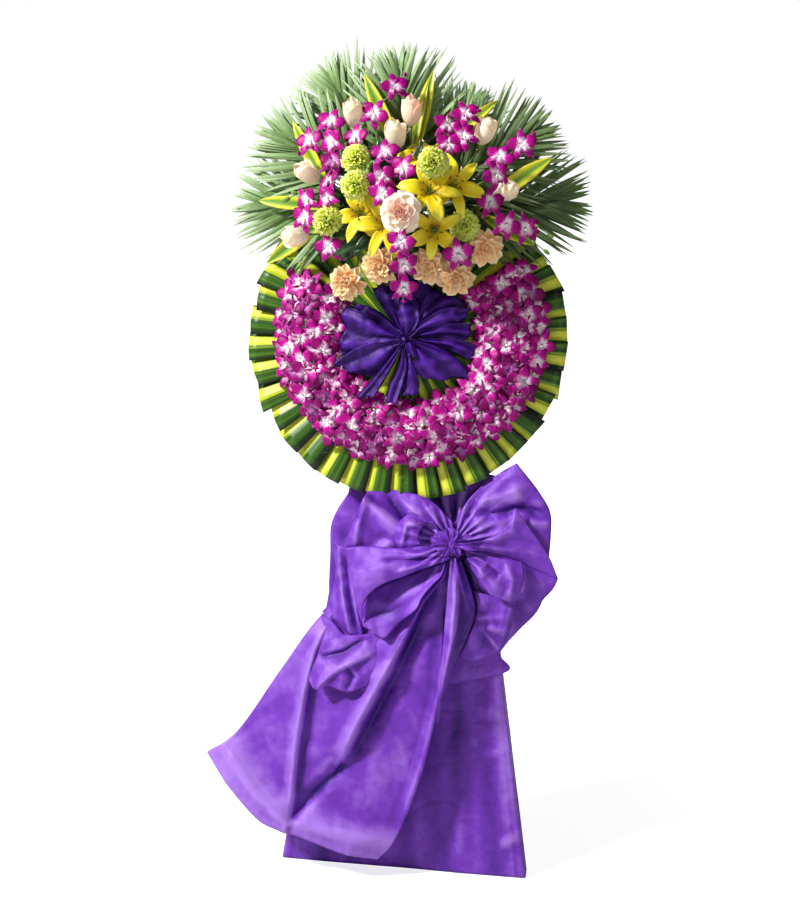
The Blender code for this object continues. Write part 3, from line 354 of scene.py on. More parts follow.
FINISHES = {
    "cloth": cloth_finish("purple_cloth", (44, 0, 108), (112, 50, 180), (168, 122, 222), 0.85),
    "dark_cloth": cloth_finish("dark_purple_cloth", (8, 0, 34), (34, 0, 84), (92, 38, 168), 0.55),
    "orchid": orchid_finish(),
    # Collar strips: the near-black stops at a strip's edges (at 0, and from 0.92 to 1) are painted shadow in
    # the gaps where the strips overlap
    "collar": leaf_finish(
        "striped_collar_leaf",
        ((0.0, (16, 40, 2)), (0.06, (70, 104, 10)), (0.11, (196, 204, 30)), (0.28, (222, 224, 78)),
         (0.4, (192, 202, 28)), (0.48, (104, 140, 18)), (0.55, (30, 70, 6)), (0.7, (60, 104, 20)),
         (0.76, (84, 122, 26)), (0.8, (40, 82, 12)), (0.92, (14, 46, 2)), (1.0, (4, 16, 0))),
        centred=False, wet=0.3, roughness=0.42),
    "striped": leaf_finish(
        "striped_leaf",
        ((0.0, (96, 142, 34)), (0.28, (124, 166, 40)), (0.48, (176, 198, 44)), (0.66, (222, 216, 44)),
         (1.0, (232, 224, 60))), centred=True, wet=0.1),
    "palm": palm_finish(),
    "lily": petal_finish(
        "lily_petal",
        ((0.0, (130, 150, 20)), (0.14, (216, 176, 8)), (0.4, (236, 210, 20)), (0.75, (240, 224, 52)),
         (1.0, (222, 222, 96))), 0.16, roughness=0.42, Subsurface_Weight=0.05, Subsurface_Scale=0.005),
    "carnation": petal_finish(
        "green_carnation_petal",
        ((0.0, (96, 132, 8)), (0.45, (196, 216, 20)), (0.85, (226, 238, 56)), (1.0, (246, 250, 150))), 0.1,
        Subsurface_Weight=0.1, Subsurface_Scale=0.004),
    # Painted glow: the peach petals' faint emission stands in for light shining through them
    "peach": petal_finish(
        "peach_petal",
        ((0.0, (196, 104, 40)), (0.35, (240, 166, 96)), (0.75, (252, 208, 152)), (1.0, (255, 230, 188))),
        0.14, Emission_Color=(1, 0.72, 0.46, 1), Emission_Strength=0.03, Subsurface_Weight=0.1,
        Subsurface_Scale=0.004),
    # Painted glow: the rose petals' faint emission stands in for light shining through them
    "rose": petal_finish(
        "rose_petal",
        ((0.0, (216, 140, 120)), (0.4, (244, 204, 180)), (0.8, (252, 236, 216)), (1.0, (246, 224, 196))),
        0.06, blush=(255, 198, 190), Emission_Color=(1, 0.8, 0.66, 1), Emission_Strength=0.05,
        Subsurface_Weight=0.12, Subsurface_Scale=0.005),
    # Painted glow: the rosebud petals' emission stands in for light shining through them
    "bud": petal_finish(
        "rosebud_petal",
        ((0.0, (200, 204, 120)), (0.25, (248, 234, 196)), (0.75, (255, 240, 212)), (1.0, (250, 228, 186))),
        0.05, tints=(0.92, 1.06), blush=(255, 206, 206), Emission_Color=(1, 0.84, 0.7, 1),
        Emission_Strength=0.12, Subsurface_Weight=0.15, Subsurface_Scale=0.006),
    "stem": plain_finish("green_stem", (74, 108, 40), (132, 164, 78), 90.0, 0.5),
    "dark_leaf": plain_finish("dark_leaf", (14, 40, 14), (42, 84, 30), 40.0, 0.4, Coat_Weight=0.3),
    "anther": plain_finish("lily_anther", (92, 40, 12), (150, 78, 26), 400.0, 0.9),
    "straw": plain_finish("straw", (120, 92, 40), (196, 162, 88), 160.0, 0.85, (0.9, 0.002)),
    "twine": plain_finish("twine", (150, 120, 70), (204, 176, 120), 500.0, 0.9),
    "foam": plain_finish("wet_foam", (18, 52, 26), (38, 86, 46), 420.0, 0.9, (0.8, 0.001)),
    "wood": wood_finish(),
    "nail": plain_finish("nail_steel", (90, 90, 92), (140, 140, 144), 600.0, 0.4, Metallic=0.9),
}


# Shapes


def new_shape():
    """An empty bmesh with the map and attributes that the finishes read."""
    bm = bmesh.new()
    bm.loops.layers.uv.new("UVMap")
    bm.verts.layers.float.new("tint")
    bm.verts.layers.float.new("kind")
    return bm


def marked(bm, verts, tint, kind=0.0):
    tints, kinds = bm.verts.layers.float["tint"], bm.verts.layers.float["kind"]
    for vert in verts:
        vert[tints] = tint
        vert[kinds] = kind


def grid(bm, columns, rows, shape, tint=0.5, kind=0.0):
    """A grid whose point at (u, v), each from 0 to 1, is placed by shape(u, v)."""
    made = bmesh.ops.create_grid(bm, x_segments=columns, y_segments=rows, size=0.5, calc_uvs=True)["verts"]
    for vert in made:
        vert.co = shape(vert.co.x + 0.5, vert.co.y + 0.5)
    marked(bm, made, tint, kind)
    return made


def turned(degrees, axis="Z"):
    return Matrix.Rotation(math.radians(degrees), 4, axis)


def petal(bm, place, length, half, bend, broad, blunt, root=0.2, end=0.03, cup=0.0, fold=0.0, ruffle=0.0,
          waves=2.0, jag=0.0, frill=0.0, columns=4, rows=6, tint=0.5, kind=0.0, phase=0.0):
    """A petal or leaf along local X that faces local Z. bend is its rise at root and tip in degrees, broad is
    where it is widest, and a lower blunt makes it rounder. cup and fold lift its edges, jag cuts its tip and
    frill waves it."""
    power = math.log(0.5) / math.log(broad)
    spine = [(0.0, 0.0)]
    for k in range(rows):
        lean = math.radians(bend[0] + (bend[1] - bend[0]) * (k + 0.5) / rows)
        x, z = spine[-1]
        spine.append((x + length / rows * math.cos(lean), z + length / rows * math.sin(lean)))

    def shape(u, v):
        lean = math.radians(bend[0] + (bend[1] - bend[0]) * v)
        swell = max(0.0, math.sin(math.pi * min(1.0, v**power))) ** blunt
        width = half * max(root * (1 - v), swell, end * v, 0.03)
        side = 2 * u - 1
        lift = width * (cup * side * side + fold * abs(side))
        lift += ruffle * abs(side) ** 1.5 * math.sin(2 * math.pi * waves * v + phase + 2 * side)
        lift += frill * v * v * math.sin(7 * side + phase)
        out = -jag * v**5 * abs(math.sin(4.7 * side + phase))
        x, z = spine[round(v * rows)]
        x += out * math.cos(lean) - lift * math.sin(lean)
        z += out * math.sin(lean) + lift * math.cos(lean)
        return place @ Vector((x, side * width, z))

    return grid(bm, columns, rows, shape, tint, kind)


def tube(bm, points, radii, sides=6, tint=0.5):
    """A round stem through the points, closed at both ends."""
    points = [Vector(p) for p in points]
    ways = [(b - a).normalized() for a, b in zip(points, points[1:])]
    turn = ways[0].to_track_quat("Z", "Y")
    place = Matrix.Translation(points[0]) @ turn.to_matrix().to_4x4() @ Matrix.Scale(radii[0], 4)
    ring = bmesh.ops.create_circle(bm, segments=sides, radius=1, matrix=place, cap_ends=True)["verts"]
    marked(bm, ring, tint)
    edges = list(dict.fromkeys(e for v in ring for e in v.link_edges))
    for k in range(1, len(points)):
        before = ways[k - 1]
        after = ways[min(k, len(ways) - 1)]
        turn = before.rotation_difference((before + after).normalized()) @ turn
        moved = bmesh.ops.extrude_edge_only(bm, edges=edges)["geom"]
        verts = [g for g in moved if isinstance(g, bmesh.types.BMVert)]
        edges = [g for g in moved if isinstance(g, bmesh.types.BMEdge)]
        next_place = Matrix.Translation(points[k]) @ turn.to_matrix().to_4x4() @ Matrix.Scale(radii[k], 4)
        bmesh.ops.transform(bm, matrix=next_place @ place.inverted(), verts=verts)
        marked(bm, verts, tint)
        place = next_place
        turn = (before + after).normalized().rotation_difference(after) @ turn
    bmesh.ops.edgeloop_fill(bm, edges=edges)


def ball(bm, place, tint=0.5, kind=0.0, around=8, along=6):
    made = bmesh.ops.create_uvsphere(bm, u_segments=around, v_segments=along, radius=1, matrix=place)["verts"]
    marked(bm, made, tint, kind)
    return made


def as_template(bm, name):
    mesh = bpy.data.meshes.new(name)
    bm.to_mesh(mesh)
    bm.free()
    return mesh


def add_copy(bm, template, place, tint):
    """Adds a copy of a finished shape with a tint of its own."""
    copy = template.copy()
    copy.transform(place)
    copy.attributes["tint"].data.foreach_set("value", [tint] * len(copy.vertices))
    bm.from_mesh(copy)
    bpy.data.meshes.remove(copy)


def facing(at, yaw, pitch, roll):
    """Puts a bloom at a point. Its local Z faces the viewer, turned right by yaw and up by pitch."""
    return Matrix.Translation(at) @ turned(yaw) @ turned(90 - pitch, "X") @ turned(roll)


def laid(at, out):
    """A frame at a point with X along out and Z as near to the viewer as it can be."""
    along = Vector(out).normalized()
    aside = Vector((0, -1, 0)).cross(along).normalized()
    return Matrix.Translation(at) @ Matrix((along, aside, along.cross(aside))).transposed().to_4x4()


def piece(name, bm, kind, nodes=(), place=WREATH, thick=0.0, offset=0.0):
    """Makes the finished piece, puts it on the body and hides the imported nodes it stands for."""
    mesh = bpy.data.meshes.new(name)
    bm.to_mesh(mesh)
    bm.free()
    mesh.transform(place)
    mesh.shade_smooth()
    mesh.materials.append(FINISHES[kind])
    obj = bpy.data.objects.new(name, mesh)
    bpy.context.scene.collection.objects.link(obj)
    if thick:
        wall = obj.modifiers.new("thickness", "SOLIDIFY")
        wall.thickness = thick / 1000
        wall.offset = offset
    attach(obj, "root")
    if nodes:
        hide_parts(*nodes)
    return obj


# Easel


def board(name):
    """A sawn board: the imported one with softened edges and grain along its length."""
    soft_edge = 0.0018                   # metres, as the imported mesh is
    bm = bmesh.new()
    bm.from_mesh(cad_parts[name].data)
    bmesh.ops.remove_doubles(bm, verts=bm.verts, dist=1e-6)
    bmesh.ops.dissolve_limit(bm, angle_limit=math.radians(1), verts=bm.verts, edges=bm.edges)
    longest = max(bm.edges, key=lambda e: e.calc_length())
    along = (longest.verts[1].co - longest.verts[0].co).normalized()
    aside = along.orthogonal().normalized()
    bmesh.ops.bevel(bm, geom=bm.edges[:], offset=soft_edge, segments=2, profile=0.5, affect="EDGES",
                    material=-1)
    grain = bm.verts.layers.float_vector.new("grain")
    start = Vector((len(name) * 0.37, 0, 0))
    for vert in bm.verts:
        across = Vector((vert.co.dot(aside) + vert.co.dot(along.cross(aside)), vert.co.dot(along), 0))
        vert[grain] = across + start
    obj = piece(f"board_{name}", bm, "wood", [name], Matrix.Identity(4))
    obj.data.shade_flat()


def half_span(level):
    """How far the middle of a front leg stands from the easel's middle."""
    return FOOT_HALF_SPAN + (TOP_HALF_SPAN - FOOT_HALF_SPAN) * level / LEG_LENGTH


def nails():
    """Two nail heads where each bar crosses a leg."""
    bm = new_shape()
    stand_out, apart = 1.2, 8
    for level in BAR_LEVELS:
        for side in (-1, 1):
            for step in (-apart, apart):
                x = EASEL_X + side * half_span(level) + step
                at = Matrix.Translation((x, LEG_THICK + BAR_THICK + stand_out, level + step))
                bmesh.ops.create_cone(bm, cap_ends=True, segments=12, radius1=3, radius2=2.4, depth=1.6,
                                      matrix=at @ turned(-90, "X"))
    piece("nail_heads", bm, "nail", place=FACE)


# Wreath body


def straw_pad():
    """The pad of wound straw: coils side by side round its face, back and rim."""
    bm = new_shape()
    coil, roundness, face_y = 11.75, 0.6, -3.0
    turns = int(PAD_RADIUS / coil)
    rim_points, rim_coils = 13, 4

    def outline():
        for k in range(turns * 4 + 1):
            radius = coil * k / 4
            bump = 2.2 * abs(math.sin(math.pi * radius / coil)) ** roundness
            yield radius, face_y + bump
        for k in range(1, rim_points):
            share = k / rim_points
            bump = 2.0 * abs(math.sin(math.pi * share * rim_coils)) ** roundness
            yield PAD_RADIUS - 2.5 + bump, face_y - (PAD_DEPTH - 4) * share
        for k in range(turns, -1, -1):
            yield coil * k, 1.0 - PAD_DEPTH

    verts = [bm.verts.new((radius, y, 0)) for radius, y in outline()]
    edges = [bm.edges.new(pair) for pair in zip(verts, verts[1:])]
    bmesh.ops.spin(bm, geom=verts + edges, cent=(0, 0, 0), axis=(0, 1, 0), angle=2 * math.pi, steps=96,
                   use_merge=True)
    bmesh.ops.remove_doubles(bm, verts=bm.verts, dist=0.01)
    bmesh.ops.recalc_face_normals(bm, faces=bm.faces)
    for vert in bm.verts:
        vert.co.y += 0.5 * noise.noise(vert.co * 0.14) - 0.2
    piece("straw_coils", bm, "straw", ["straw_pad"])


def straw_twine():
    """Turns of twine that bind the pad from its middle over its rim."""
    bm = new_shape()
    count, radius = 26, 1.1
    route = ((12, 0.3), (60, 0.3), (110, 0.3), (160, 0.3), (205, 0.3), (228, 0.3), (236, -4), (237, -26),
             (235, -49))
    for k in range(count):
        angle = 2 * math.pi * (k + 0.3 * math.sin(k * 7)) / count
        out = Vector((math.cos(angle), 0, math.sin(angle)))
        tube(bm, [out * away + Vector((0, y, 0)) for away, y in route], [radius] * len(route), 5)
    piece("straw_twine", bm, "twine")


def leaf_strips():
    """Folded leaf strips laid round like roof tiles. Each rises to its fold and drops over the next."""
    draw = random.Random(11)
    bm = new_shape()
    pitch = 2 * math.pi / COLLAR_LEAVES
    inner_edge, overlap, valley, step_down = 132, 0.1, 14.0, 6.2
    for leaf in range(COLLAR_LEAVES):
        reach = COLLAR_RADIUS + 5 * draw.uniform(-1, 1)
        slant = draw.uniform(-9, 9)
        lifted = draw.uniform(0.6, 1.6)
        crest = 0.46 + draw.uniform(-0.05, 0.05)
        start = (leaf + draw.uniform(-0.05, 0.05)) * pitch
        sag = draw.uniform(-1.5, 1.5)

        def shape(u, v):
            share = -overlap + (1 + overlap) * u
            angle = start + share * pitch
            radius = inner_edge + (reach - inner_edge) * v
            if v > 0.99:
                radius += slant * (u - 0.5) - 2.0 * (0.5 - abs(u - 0.5))
            if share < crest:
                depth = valley * (1 - (share + overlap) / (crest + overlap)) ** 0.9
            else:
                depth = (step_down - 3.2 * lifted * v * v) * ((share - crest) / (1 - crest)) ** 1.2
            depth = 0.6 + max(depth, 0) * min(1, radius / COLLAR_RADIUS + 0.1)
            depth += sag * v * math.sin(math.pi * v * 0.5) * 0.6
            return Vector((radius * math.cos(angle), -LEAF_FRONT + depth, radius * math.sin(angle)))

        grid(bm, 14, 10, shape, tint=draw.random())
    piece("collar_leaves", bm, "collar", ["folded_leaves"], thick=0.9, offset=-1)
    inner_leaves(draw)


def inner_leaves(draw):
    """Flatter strips over the middle of the disc, under the rosette."""
    bm = new_shape()
    count, start_radius, length = 26, 18, 142
    for leaf in range(count):
        turn = 2 * math.pi * (leaf + draw.uniform(-0.1, 0.1)) / count
        fold = draw.uniform(2, 4)

        def shape(u, v):
            angle = turn + (u - 0.5) * 2 * math.pi / 20 * (1.5 - 0.4 * v)
            radius = start_radius + length * v
            y = -LEAF_FRONT - 1.2 - 1.5 * u - fold * (1 - abs(2 * u - 1)) * v
            return Vector((radius * math.cos(angle), y, radius * math.sin(angle)))

        grid(bm, 8, 6, shape, tint=draw.random())
    piece("inner_leaves", bm, "collar", ["folded_leaves"], thick=0.7)


# Orchids


def floret_template(half, blunt):
    """A dendrobium bloom of reach 1: two broad petals, three pointed sepals, lip and column."""
    bm = new_shape()
    for angle in (90, -54, -126):
        petal(bm, turned(angle) @ Matrix.Translation((0.03, 0, -0.03)), 1.04, 0.25, (24, -22), broad=0.45,
              blunt=0.95, root=0.4, cup=0.25, columns=2, rows=5, kind=1)
    for angle in (16, 164):
        petal(bm, turned(angle) @ Matrix.Translation((0.03, 0, 0.03)), 1.0, half, (30, -24), broad=0.54,
              blunt=blunt, root=0.2, cup=-0.16, ruffle=0.06, waves=1.3, rows=5)
    petal(bm, turned(-90) @ Matrix.Translation((0.02, 0, 0.05)), 0.56, 0.24, (55, -60), broad=0.6, blunt=0.55,
          root=0.6, fold=0.75, columns=4, rows=5, kind=2)
    column = Matrix.Translation((0, -0.02, 0.12)) @ Matrix.Diagonal((0.07, 0.08, 0.12, 1))
    ball(bm, column, kind=3, around=6, along=4)
    return as_template(bm, "floret")


def band_drop(angle, radius):
    """How far a point of the band lies above or below its middle: the band is less deep than wide."""
    level = radius * math.sin(angle)
    return level if level > 0 else 0.92 * level


BAND_ROWS = (                        # distance outwards from the band's middle line, depth and floret reach
    (-46, 84, 31), (-25, 94, 32), (-4, 98, 33), (19, 97, 33), (42, 90, 33), (58, 80, 31),
)


def orchid_band():
    """Rows of florets in a U round the lower part of the wreath. They face outwards towards its edges."""
    floret = floret_template(0.35, 0.95)
    draw = random.Random(5)
    halves = {"left": new_shape(), "right": new_shape()}
    span, spacing = BAND_END - BAND_START, 34
    edge, edge_lean, stray = 60, 30, 16
    for across, depth, reach in BAND_ROWS:
        radius = BAND_RADIUS + across
        lean = across / edge * edge_lean
        count = round(math.radians(span) * radius / spacing)
        for i in range(count):
            angle = BAND_START + span * (i + 0.5 + draw.uniform(-0.2, 0.2)) / count
            turn = math.radians(angle)
            own = radius + draw.uniform(-5, 5)
            own_depth = depth + draw.uniform(-5, 5)
            at = Vector((BAND_CENTRE_X + own * math.cos(turn), -own_depth, band_drop(turn, own)))
            yaw = lean * math.cos(turn) + draw.uniform(-stray, stray)
            pitch = lean * math.sin(turn) + draw.uniform(-stray, stray)
            place = facing(at, yaw, pitch, draw.uniform(-180, 180))
            size = reach * draw.uniform(0.88, 1.08)
            half = "left" if angle < BAND_SEAM else "right"
            add_copy(halves[half], floret, place @ Matrix.Scale(size, 4), draw.random())
    for half, bm in halves.items():
        piece(f"band_orchids_{half}", bm, "orchid", [f"orchid_band_{half}"], thick=0.5)


def band_bed():
    """The low lumpy bed of dark leaves that the band's florets stand on. Its darkness is also painted shade
    in the gaps between florets.
    """
    bed = new_shape()
    inset, height = 3, 19

    def shape(u, v):
        angle = math.radians(BAND_START + inset + (BAND_END - BAND_START - 2 * inset) * v)
        radius = BAND_RADIUS + (2 * u - 1) * 0.86 * BAND_HALF_WIDTH
        rise = height * math.sin(math.pi * u) ** 0.6
        lumps = 3 * noise.noise(Vector((radius * math.cos(angle), radius * math.sin(angle), 0)) * 0.08)
        y = -LEAF_FRONT - 1.5 - rise + lumps
        return Vector((BAND_CENTRE_X + radius * math.cos(angle), y, band_drop(angle, radius)))

    grid(bed, 10, 90, shape)
    piece("band_bed", bed, "dark_leaf", thick=2.0, offset=1)


# A stem's hole is in the foam's front at y = -142.5, its top at z = 295, its underside at z = 185 or its
# side at x = 115 or -115
FLORET_REACH, SINGLE_REACH, SPRAY_TIP = 30.24, 32.4, 34
SINGLE_ORCHID = ((112, -196, 152), 6, -18, 12, (96, -142.5, 206))    # place, yaw, pitch, roll and hole
ORCHID_SPRAYS = {                    # florets as place, yaw, pitch and roll, tip first, and the hole
    "orchids_upper_left": (
        ((-179, -150, 361, -20, 10, 10), (-138, -160, 394, -10, 25, -20), (-132, -168, 356, -10, 10, 30),
         (-88, -168, 364, -6, 10, 0)), (-84, -125, 295)),
    "orchids_top": (((-21, -148, 460, 0, 30, 15), (-58, -150, 411, -20, 20, -30)), (-44, -125, 295)),
    "orchids_left": (
        ((-128, -175, 318, -14, 10, -12), (-134, -177, 282, -20, 6, 20), (-136, -180, 252, -16, 0, 40)),
        (-115, -125, 256)),
    "orchids_lower_left": (
        ((-134, -164, 164, -10, -16, 8), (-180, -170, 216, -30, 0, -24), (-176, -166, 250, -16, 0, 30)),
        (-115, -125, 238)),
    "orchids_middle": (
        ((-28, -195, 332, 0, 10, 6), (9, -208, 302, 6, 6, -30), (-28, -230, 284, -6, 0, 24),
         (-21, -246, 252, 0, 0, -8)), (-24, -142.5, 258)),
    "orchids_upper_right": (
        ((114, -160, 408, 16, 30, 22), (80, -150, 390, 0, 20, -14), (112, -168, 366, 10, 14, 40),
         (84, -166, 350, 0, 10, -30)), (70, -125, 295)),
    "orchids_right": (
        ((217, -150, 355, 30, 14, 10), (178, -162, 330, 20, 10, -26), (172, -166, 298, 20, 0, 30)),
        (115, -125, 274)),
    "orchids_lower_right": (
        ((228, -150, 203, 30, 0, 16), (194, -176, 208, 14, -6, -20), (164, -172, 247, 20, 0, 8)),
        (115, -125, 236)),
    "orchids_hanging": (
        ((11, -182, 91, 0, -24, 0), (13, -200, 130, 0, -10, 26), (15, -248, 168, 0, -4, -14)),
        (0, -142.5, 200)),
}


def curve_point(points, whole):
    """A point on a smooth curve through the given ones, which meets their number k where whole is k."""
    knots = [2 * points[0] - points[1], *points, 2 * points[-1] - points[-2]]
    k = min(int(whole), len(points) - 2)
    t = whole - k
    a, b, c, d = knots[k : k + 4]
    bend = (2 * a - 5 * b + 4 * c - d) * t**2 + (3 * b - a - 3 * c + d) * t**3
    return 0.5 * (2 * b + (c - a) * t + bend)


def smooth_route(points, count):
    """Count points on the curve through the given ones, evenly spread in its own measure."""
    return [curve_point(points, (len(points) - 1) * step / (count - 1)) for step in range(count)]


def tip_buds(bm, tip, first, draw):
    """Three closed buds on the way from a spray's tip to its first floret, in the petals' magenta."""
    for k in range(3):
        way = Vector((draw.uniform(-1, 1), -0.7, draw.uniform(-0.4, 1)))
        place = laid(tip.lerp(first, 0.36 * k), way)
        size = 3.4 + 1.4 * k
        shaped = Matrix.Translation((size * 1.4, 0, 0)) @ Matrix.Diagonal((size * 1.5, size, size, 1))
        for vert in ball(bm, place @ shaped, 0.3, kind=1):
            for loop in vert.link_loops:
                loop[bm.loops.layers.uv.active].uv.y = 0.7


def orchid_sprays(stems):
    """Sprays of turned florets, each on its own short stalk from the spray's stem."""
    floret = floret_template(0.4, 0.8)
    for name, (florets, hole) in ORCHID_SPRAYS.items():
        draw = random.Random(len(name) * 7)
        bm = new_shape()
        route = []
        for x, y, z, yaw, pitch, roll in florets:
            own_yaw, own_pitch = yaw + draw.uniform(-26, 26), pitch + draw.uniform(-24, 16)
            place = facing((x, y, z), own_yaw, own_pitch, roll)
            add_copy(bm, floret, place @ Matrix.Scale(FLORET_REACH, 4), 0.1 + 0.9 * draw.random())
            stalk = [place @ Vector(p) for p in ((0, 0, 1), (0, -1, -6), (0, 0, -13))]
            tube(stems, stalk, [1.6, 1.2, 1.3], 5, 0.6)
            route.append(stalk[-1])
        route.append(Vector(hole))
        tip = route[0] + (route[0] - route[1]).normalized() * SPRAY_TIP
        path = smooth_route([tip, *route], 4 * len(route))
        tube(stems, path, [0.9 + 1.2 * k / len(path) for k in range(len(path))], 6, 0.5)
        tip_buds(bm, tip, route[0], draw)
        if name == "orchids_lower_right":
            at, yaw, pitch, roll, hole = SINGLE_ORCHID
            place = facing(at, yaw, pitch, roll)
            add_copy(bm, floret, place @ Matrix.Scale(SINGLE_REACH, 4), 0.6)
            stem_to(stems, place @ Vector((0, 0, -3)), place.to_3x3() @ Vector((0, 0, -1)), hole, 1.3)
        piece(f"{name}_florets", bm, "orchid", [name], thick=0.5)


# Lilies, carnations, roses and buds


LILY_BLOOMS = {                      # place, yaw, pitch, roll, petal length and hole
    "lilies_right": (
        ((62, -250, 264), 4, 8, -7, 56, (54, -142.5, 256)),
        ((104, -215, 276), 16, 8, 46, 60, (84, -142.5, 266))),
    "lilies_left": (
        ((-23, -225, 202), -8, -8, -3, 68, (-26, -142.5, 210)),
        ((-72, -205, 224), -6, 4, 5, 54, (-70, -142.5, 228))),
    "lily_low": (((70, -222, 190), 8, -14, 26, 54, (62, -142.5, 206)),),
    "lily_top": (((32, -178, 349), 0, 46, 10, 42, (32, -125, 295)),),
}


def stem_to(stems, base, way, hole, radius=2.3):
    """A stem that leaves a bloom's base along way and curves into its hole in the foam."""
    hole = Vector(hole)
    inside = hole.copy()
    if hole.y == FOAM_FRONT:
        inside.y += STEM_INSIDE
    elif hole.z == FOAM_TOP:
        inside.z -= STEM_INSIDE
    middle = base + way * min(18.0, (hole - base).length * 0.4)
    tube(stems, smooth_route([base, middle, hole, inside], 8), [radius * 1.2] + [radius] * 7, 6, 0.4)


def base_and_stem(stems, place, levels, radii, hole, tint=0.6):
    """The green base behind a bloom, as radii at levels along its axis, and the stem that leaves it."""
    axis = [place @ Vector((0, 0, level)) for level in levels]
    tube(stems, axis, radii, 8, tint)
    stem_to(stems, axis[-1], place.to_3x3() @ Vector((0, 0, -1)), hole)


def lilies(stems):
    """Six petals in two rings for each bloom, with its stamens and pistil."""
    stamens = new_shape()
    for name, blooms in LILY_BLOOMS.items():
        draw = random.Random(len(name))
        bm = new_shape()
        for at, yaw, pitch, roll, reach, hole in blooms:
            place = facing(at, yaw, pitch, roll)
            tint = draw.uniform(0.4, 1)
            for i in range(6):
                half, ruffle, depth = (14, 1.5, 32) if i % 2 else (10.5, 0.7, 33)
                turn = place @ turned(60 * i + draw.uniform(-5, 5)) @ Matrix.Translation((4, 0, -depth))
                petal(bm, turn, reach * 1.2, half, (64, -46 - draw.uniform(0, 18)), broad=0.46, blunt=0.95,
                      root=0.35, cup=0.26, ruffle=ruffle, waves=2.6, columns=6, rows=12,
                      tint=tint + draw.uniform(-0.15, 0.15), phase=i)
                out = turned(60 * i + 30)
                tip = Vector((13, 0, 4 + draw.uniform(-3, 3)))
                path = [place @ (out @ Vector(p)) for p in ((1.5, 0, -32), (5, 0, -14), tip)]
                tube(stamens, path, [0.8, 0.7, 0.6], 5, 0.7)
            pistil = [place @ Vector(p) for p in ((0, 0, -34), (0, 1, -10), (2, 3, 10))]
            tube(stamens, pistil, [1.4, 1.1, 1.8], 6, 0.9)
            base_and_stem(stems, place, (-28, -40), (7, 3), hole)
        piece(f"{name}_tepals", bm, "lily", [name], thick=0.7)
    piece("lily_stamens", stamens, "stem")


def lily_anthers():
    """The brown anther across the tip of each stamen."""
    bm = new_shape()
    shape = Matrix.Diagonal((1.3, 4.2, 1.3, 1))
    for blooms in LILY_BLOOMS.values():
        for at, yaw, pitch, roll, _, _ in blooms:
            place = facing(at, yaw, pitch, roll)
            for i in range(6):
                tip = place @ turned(60 * i + 30) @ Matrix.Translation((13, 0, 4.5))
                ball(bm, tip @ turned(20 * i) @ shape, around=6, along=5)
    piece("lily_anthers", bm, "anther")


def carnation_bloom():
    """Fringed fan petals that fill a dome, as in a full carnation."""
    draw = random.Random(2)
    bm = new_shape()
    count, heart_depth = 74, 14
    for k in range(count):
        away = math.acos(1 - 1.25 * (k + 0.5) / count)
        turn = turned(GOLDEN_TURN * k) @ turned(math.degrees(away) - 90, "Y")
        root = Matrix.Translation((0, 0, -heart_depth)) @ turn
        reach = (25 + 5 * math.sin(away)) * draw.uniform(0.9, 1.06)
        droop = 8 + 20 * math.sin(away)
        petal(bm, root @ turned(draw.uniform(-60, 60), "X"), reach, 8.5, (8, -droop), broad=0.86, blunt=0.7,
              root=0.15, end=0.95, jag=3.0, frill=2.6, cup=0.25, columns=6, rows=4, phase=draw.uniform(0, 6))
    return as_template(bm, "carnation")


PEACH_LAYERS = (                     # petals, their length, half width, rise and outward droop
    (9, 39, 11, 0, 18), (9, 35, 11, 17, 14), (8, 30, 10, 36, 10), (8, 25, 8, 54, 8), (5, 19, 6, 74, 4),
)


def peach_bloom():
    """A full bloom of cupped petals in layers, the inner ones shorter and more upright."""
    draw = random.Random(3)
    bm = new_shape()
    heart_depth, layer_step = 8, 1.2
    for layer, (count, length, half, rise, droop) in enumerate(PEACH_LAYERS):
        for i in range(count):
            turn = turned(360 * (i + 0.5 * (layer % 2)) / count + draw.uniform(-9, 9))
            out = Matrix.Translation((1.5, 0, -heart_depth + layer * layer_step))
            place = turn @ out @ turned(draw.uniform(-14, 14), "X")
            own = rise + draw.uniform(-7, 7)
            petal(bm, place, length * draw.uniform(0.86, 1.08), half, (own + 18, own - droop), broad=0.5,
                  blunt=0.7, root=0.3, end=0.06, cup=0.45, fold=0.15, ruffle=1.0, jag=2.0,
                  phase=draw.uniform(0, 6))
    return as_template(bm, "peach_bloom")


FULL_BLOOMS = {                      # place, yaw, pitch, kind and hole
    "carnation_upper_left": ((-86, -200, 327), -16, 18, "carnation", (-74, -142.5, 284)),
    "carnation_left": ((-77, -238, 272), -10, 6, "carnation", (-84, -142.5, 258)),
    "carnation_far_left": ((-141, -191, 211), -26, 0, "carnation", (-115, -118, 218)),
    "carnation_top": ((68, -254, 312), 6, 14, "carnation", (62, -142.5, 284)),
    "carnation_right": ((122, -188, 206), 16, 0, "carnation", (96, -142.5, 214)),
    "peach_far_left": ((-102, -152, 99), -12, -22, "peach", (-84, -112, 185)),
    "peach_left": ((-37, -165, 132), -4, -18, "peach", (-36, -116, 185)),
    "peach_middle": ((56, -165, 133), 4, -18, "peach", (46, -116, 185)),
    "peach_right": ((104, -155, 111), 8, -26, "peach", (84, -112, 185)),
    "peach_far_right": ((156, -152, 169), 22, -10, "peach", (115, -108, 200)),
}


def full_blooms(stems):
    templates = {"carnation": carnation_bloom(), "peach": peach_bloom()}
    draw = random.Random(8)
    for name, (at, yaw, pitch, kind, hole) in FULL_BLOOMS.items():
        bm = new_shape()
        place = facing(at, yaw, pitch, draw.uniform(0, 360))
        add_copy(bm, templates[kind], place, draw.uniform(0.3, 0.9))
        piece(f"{name}_petals", bm, kind, [name], thick=0.5)
        base_and_stem(stems, place, (-5, -18, -27), (7.5, 7, 3), hole, 0.7)


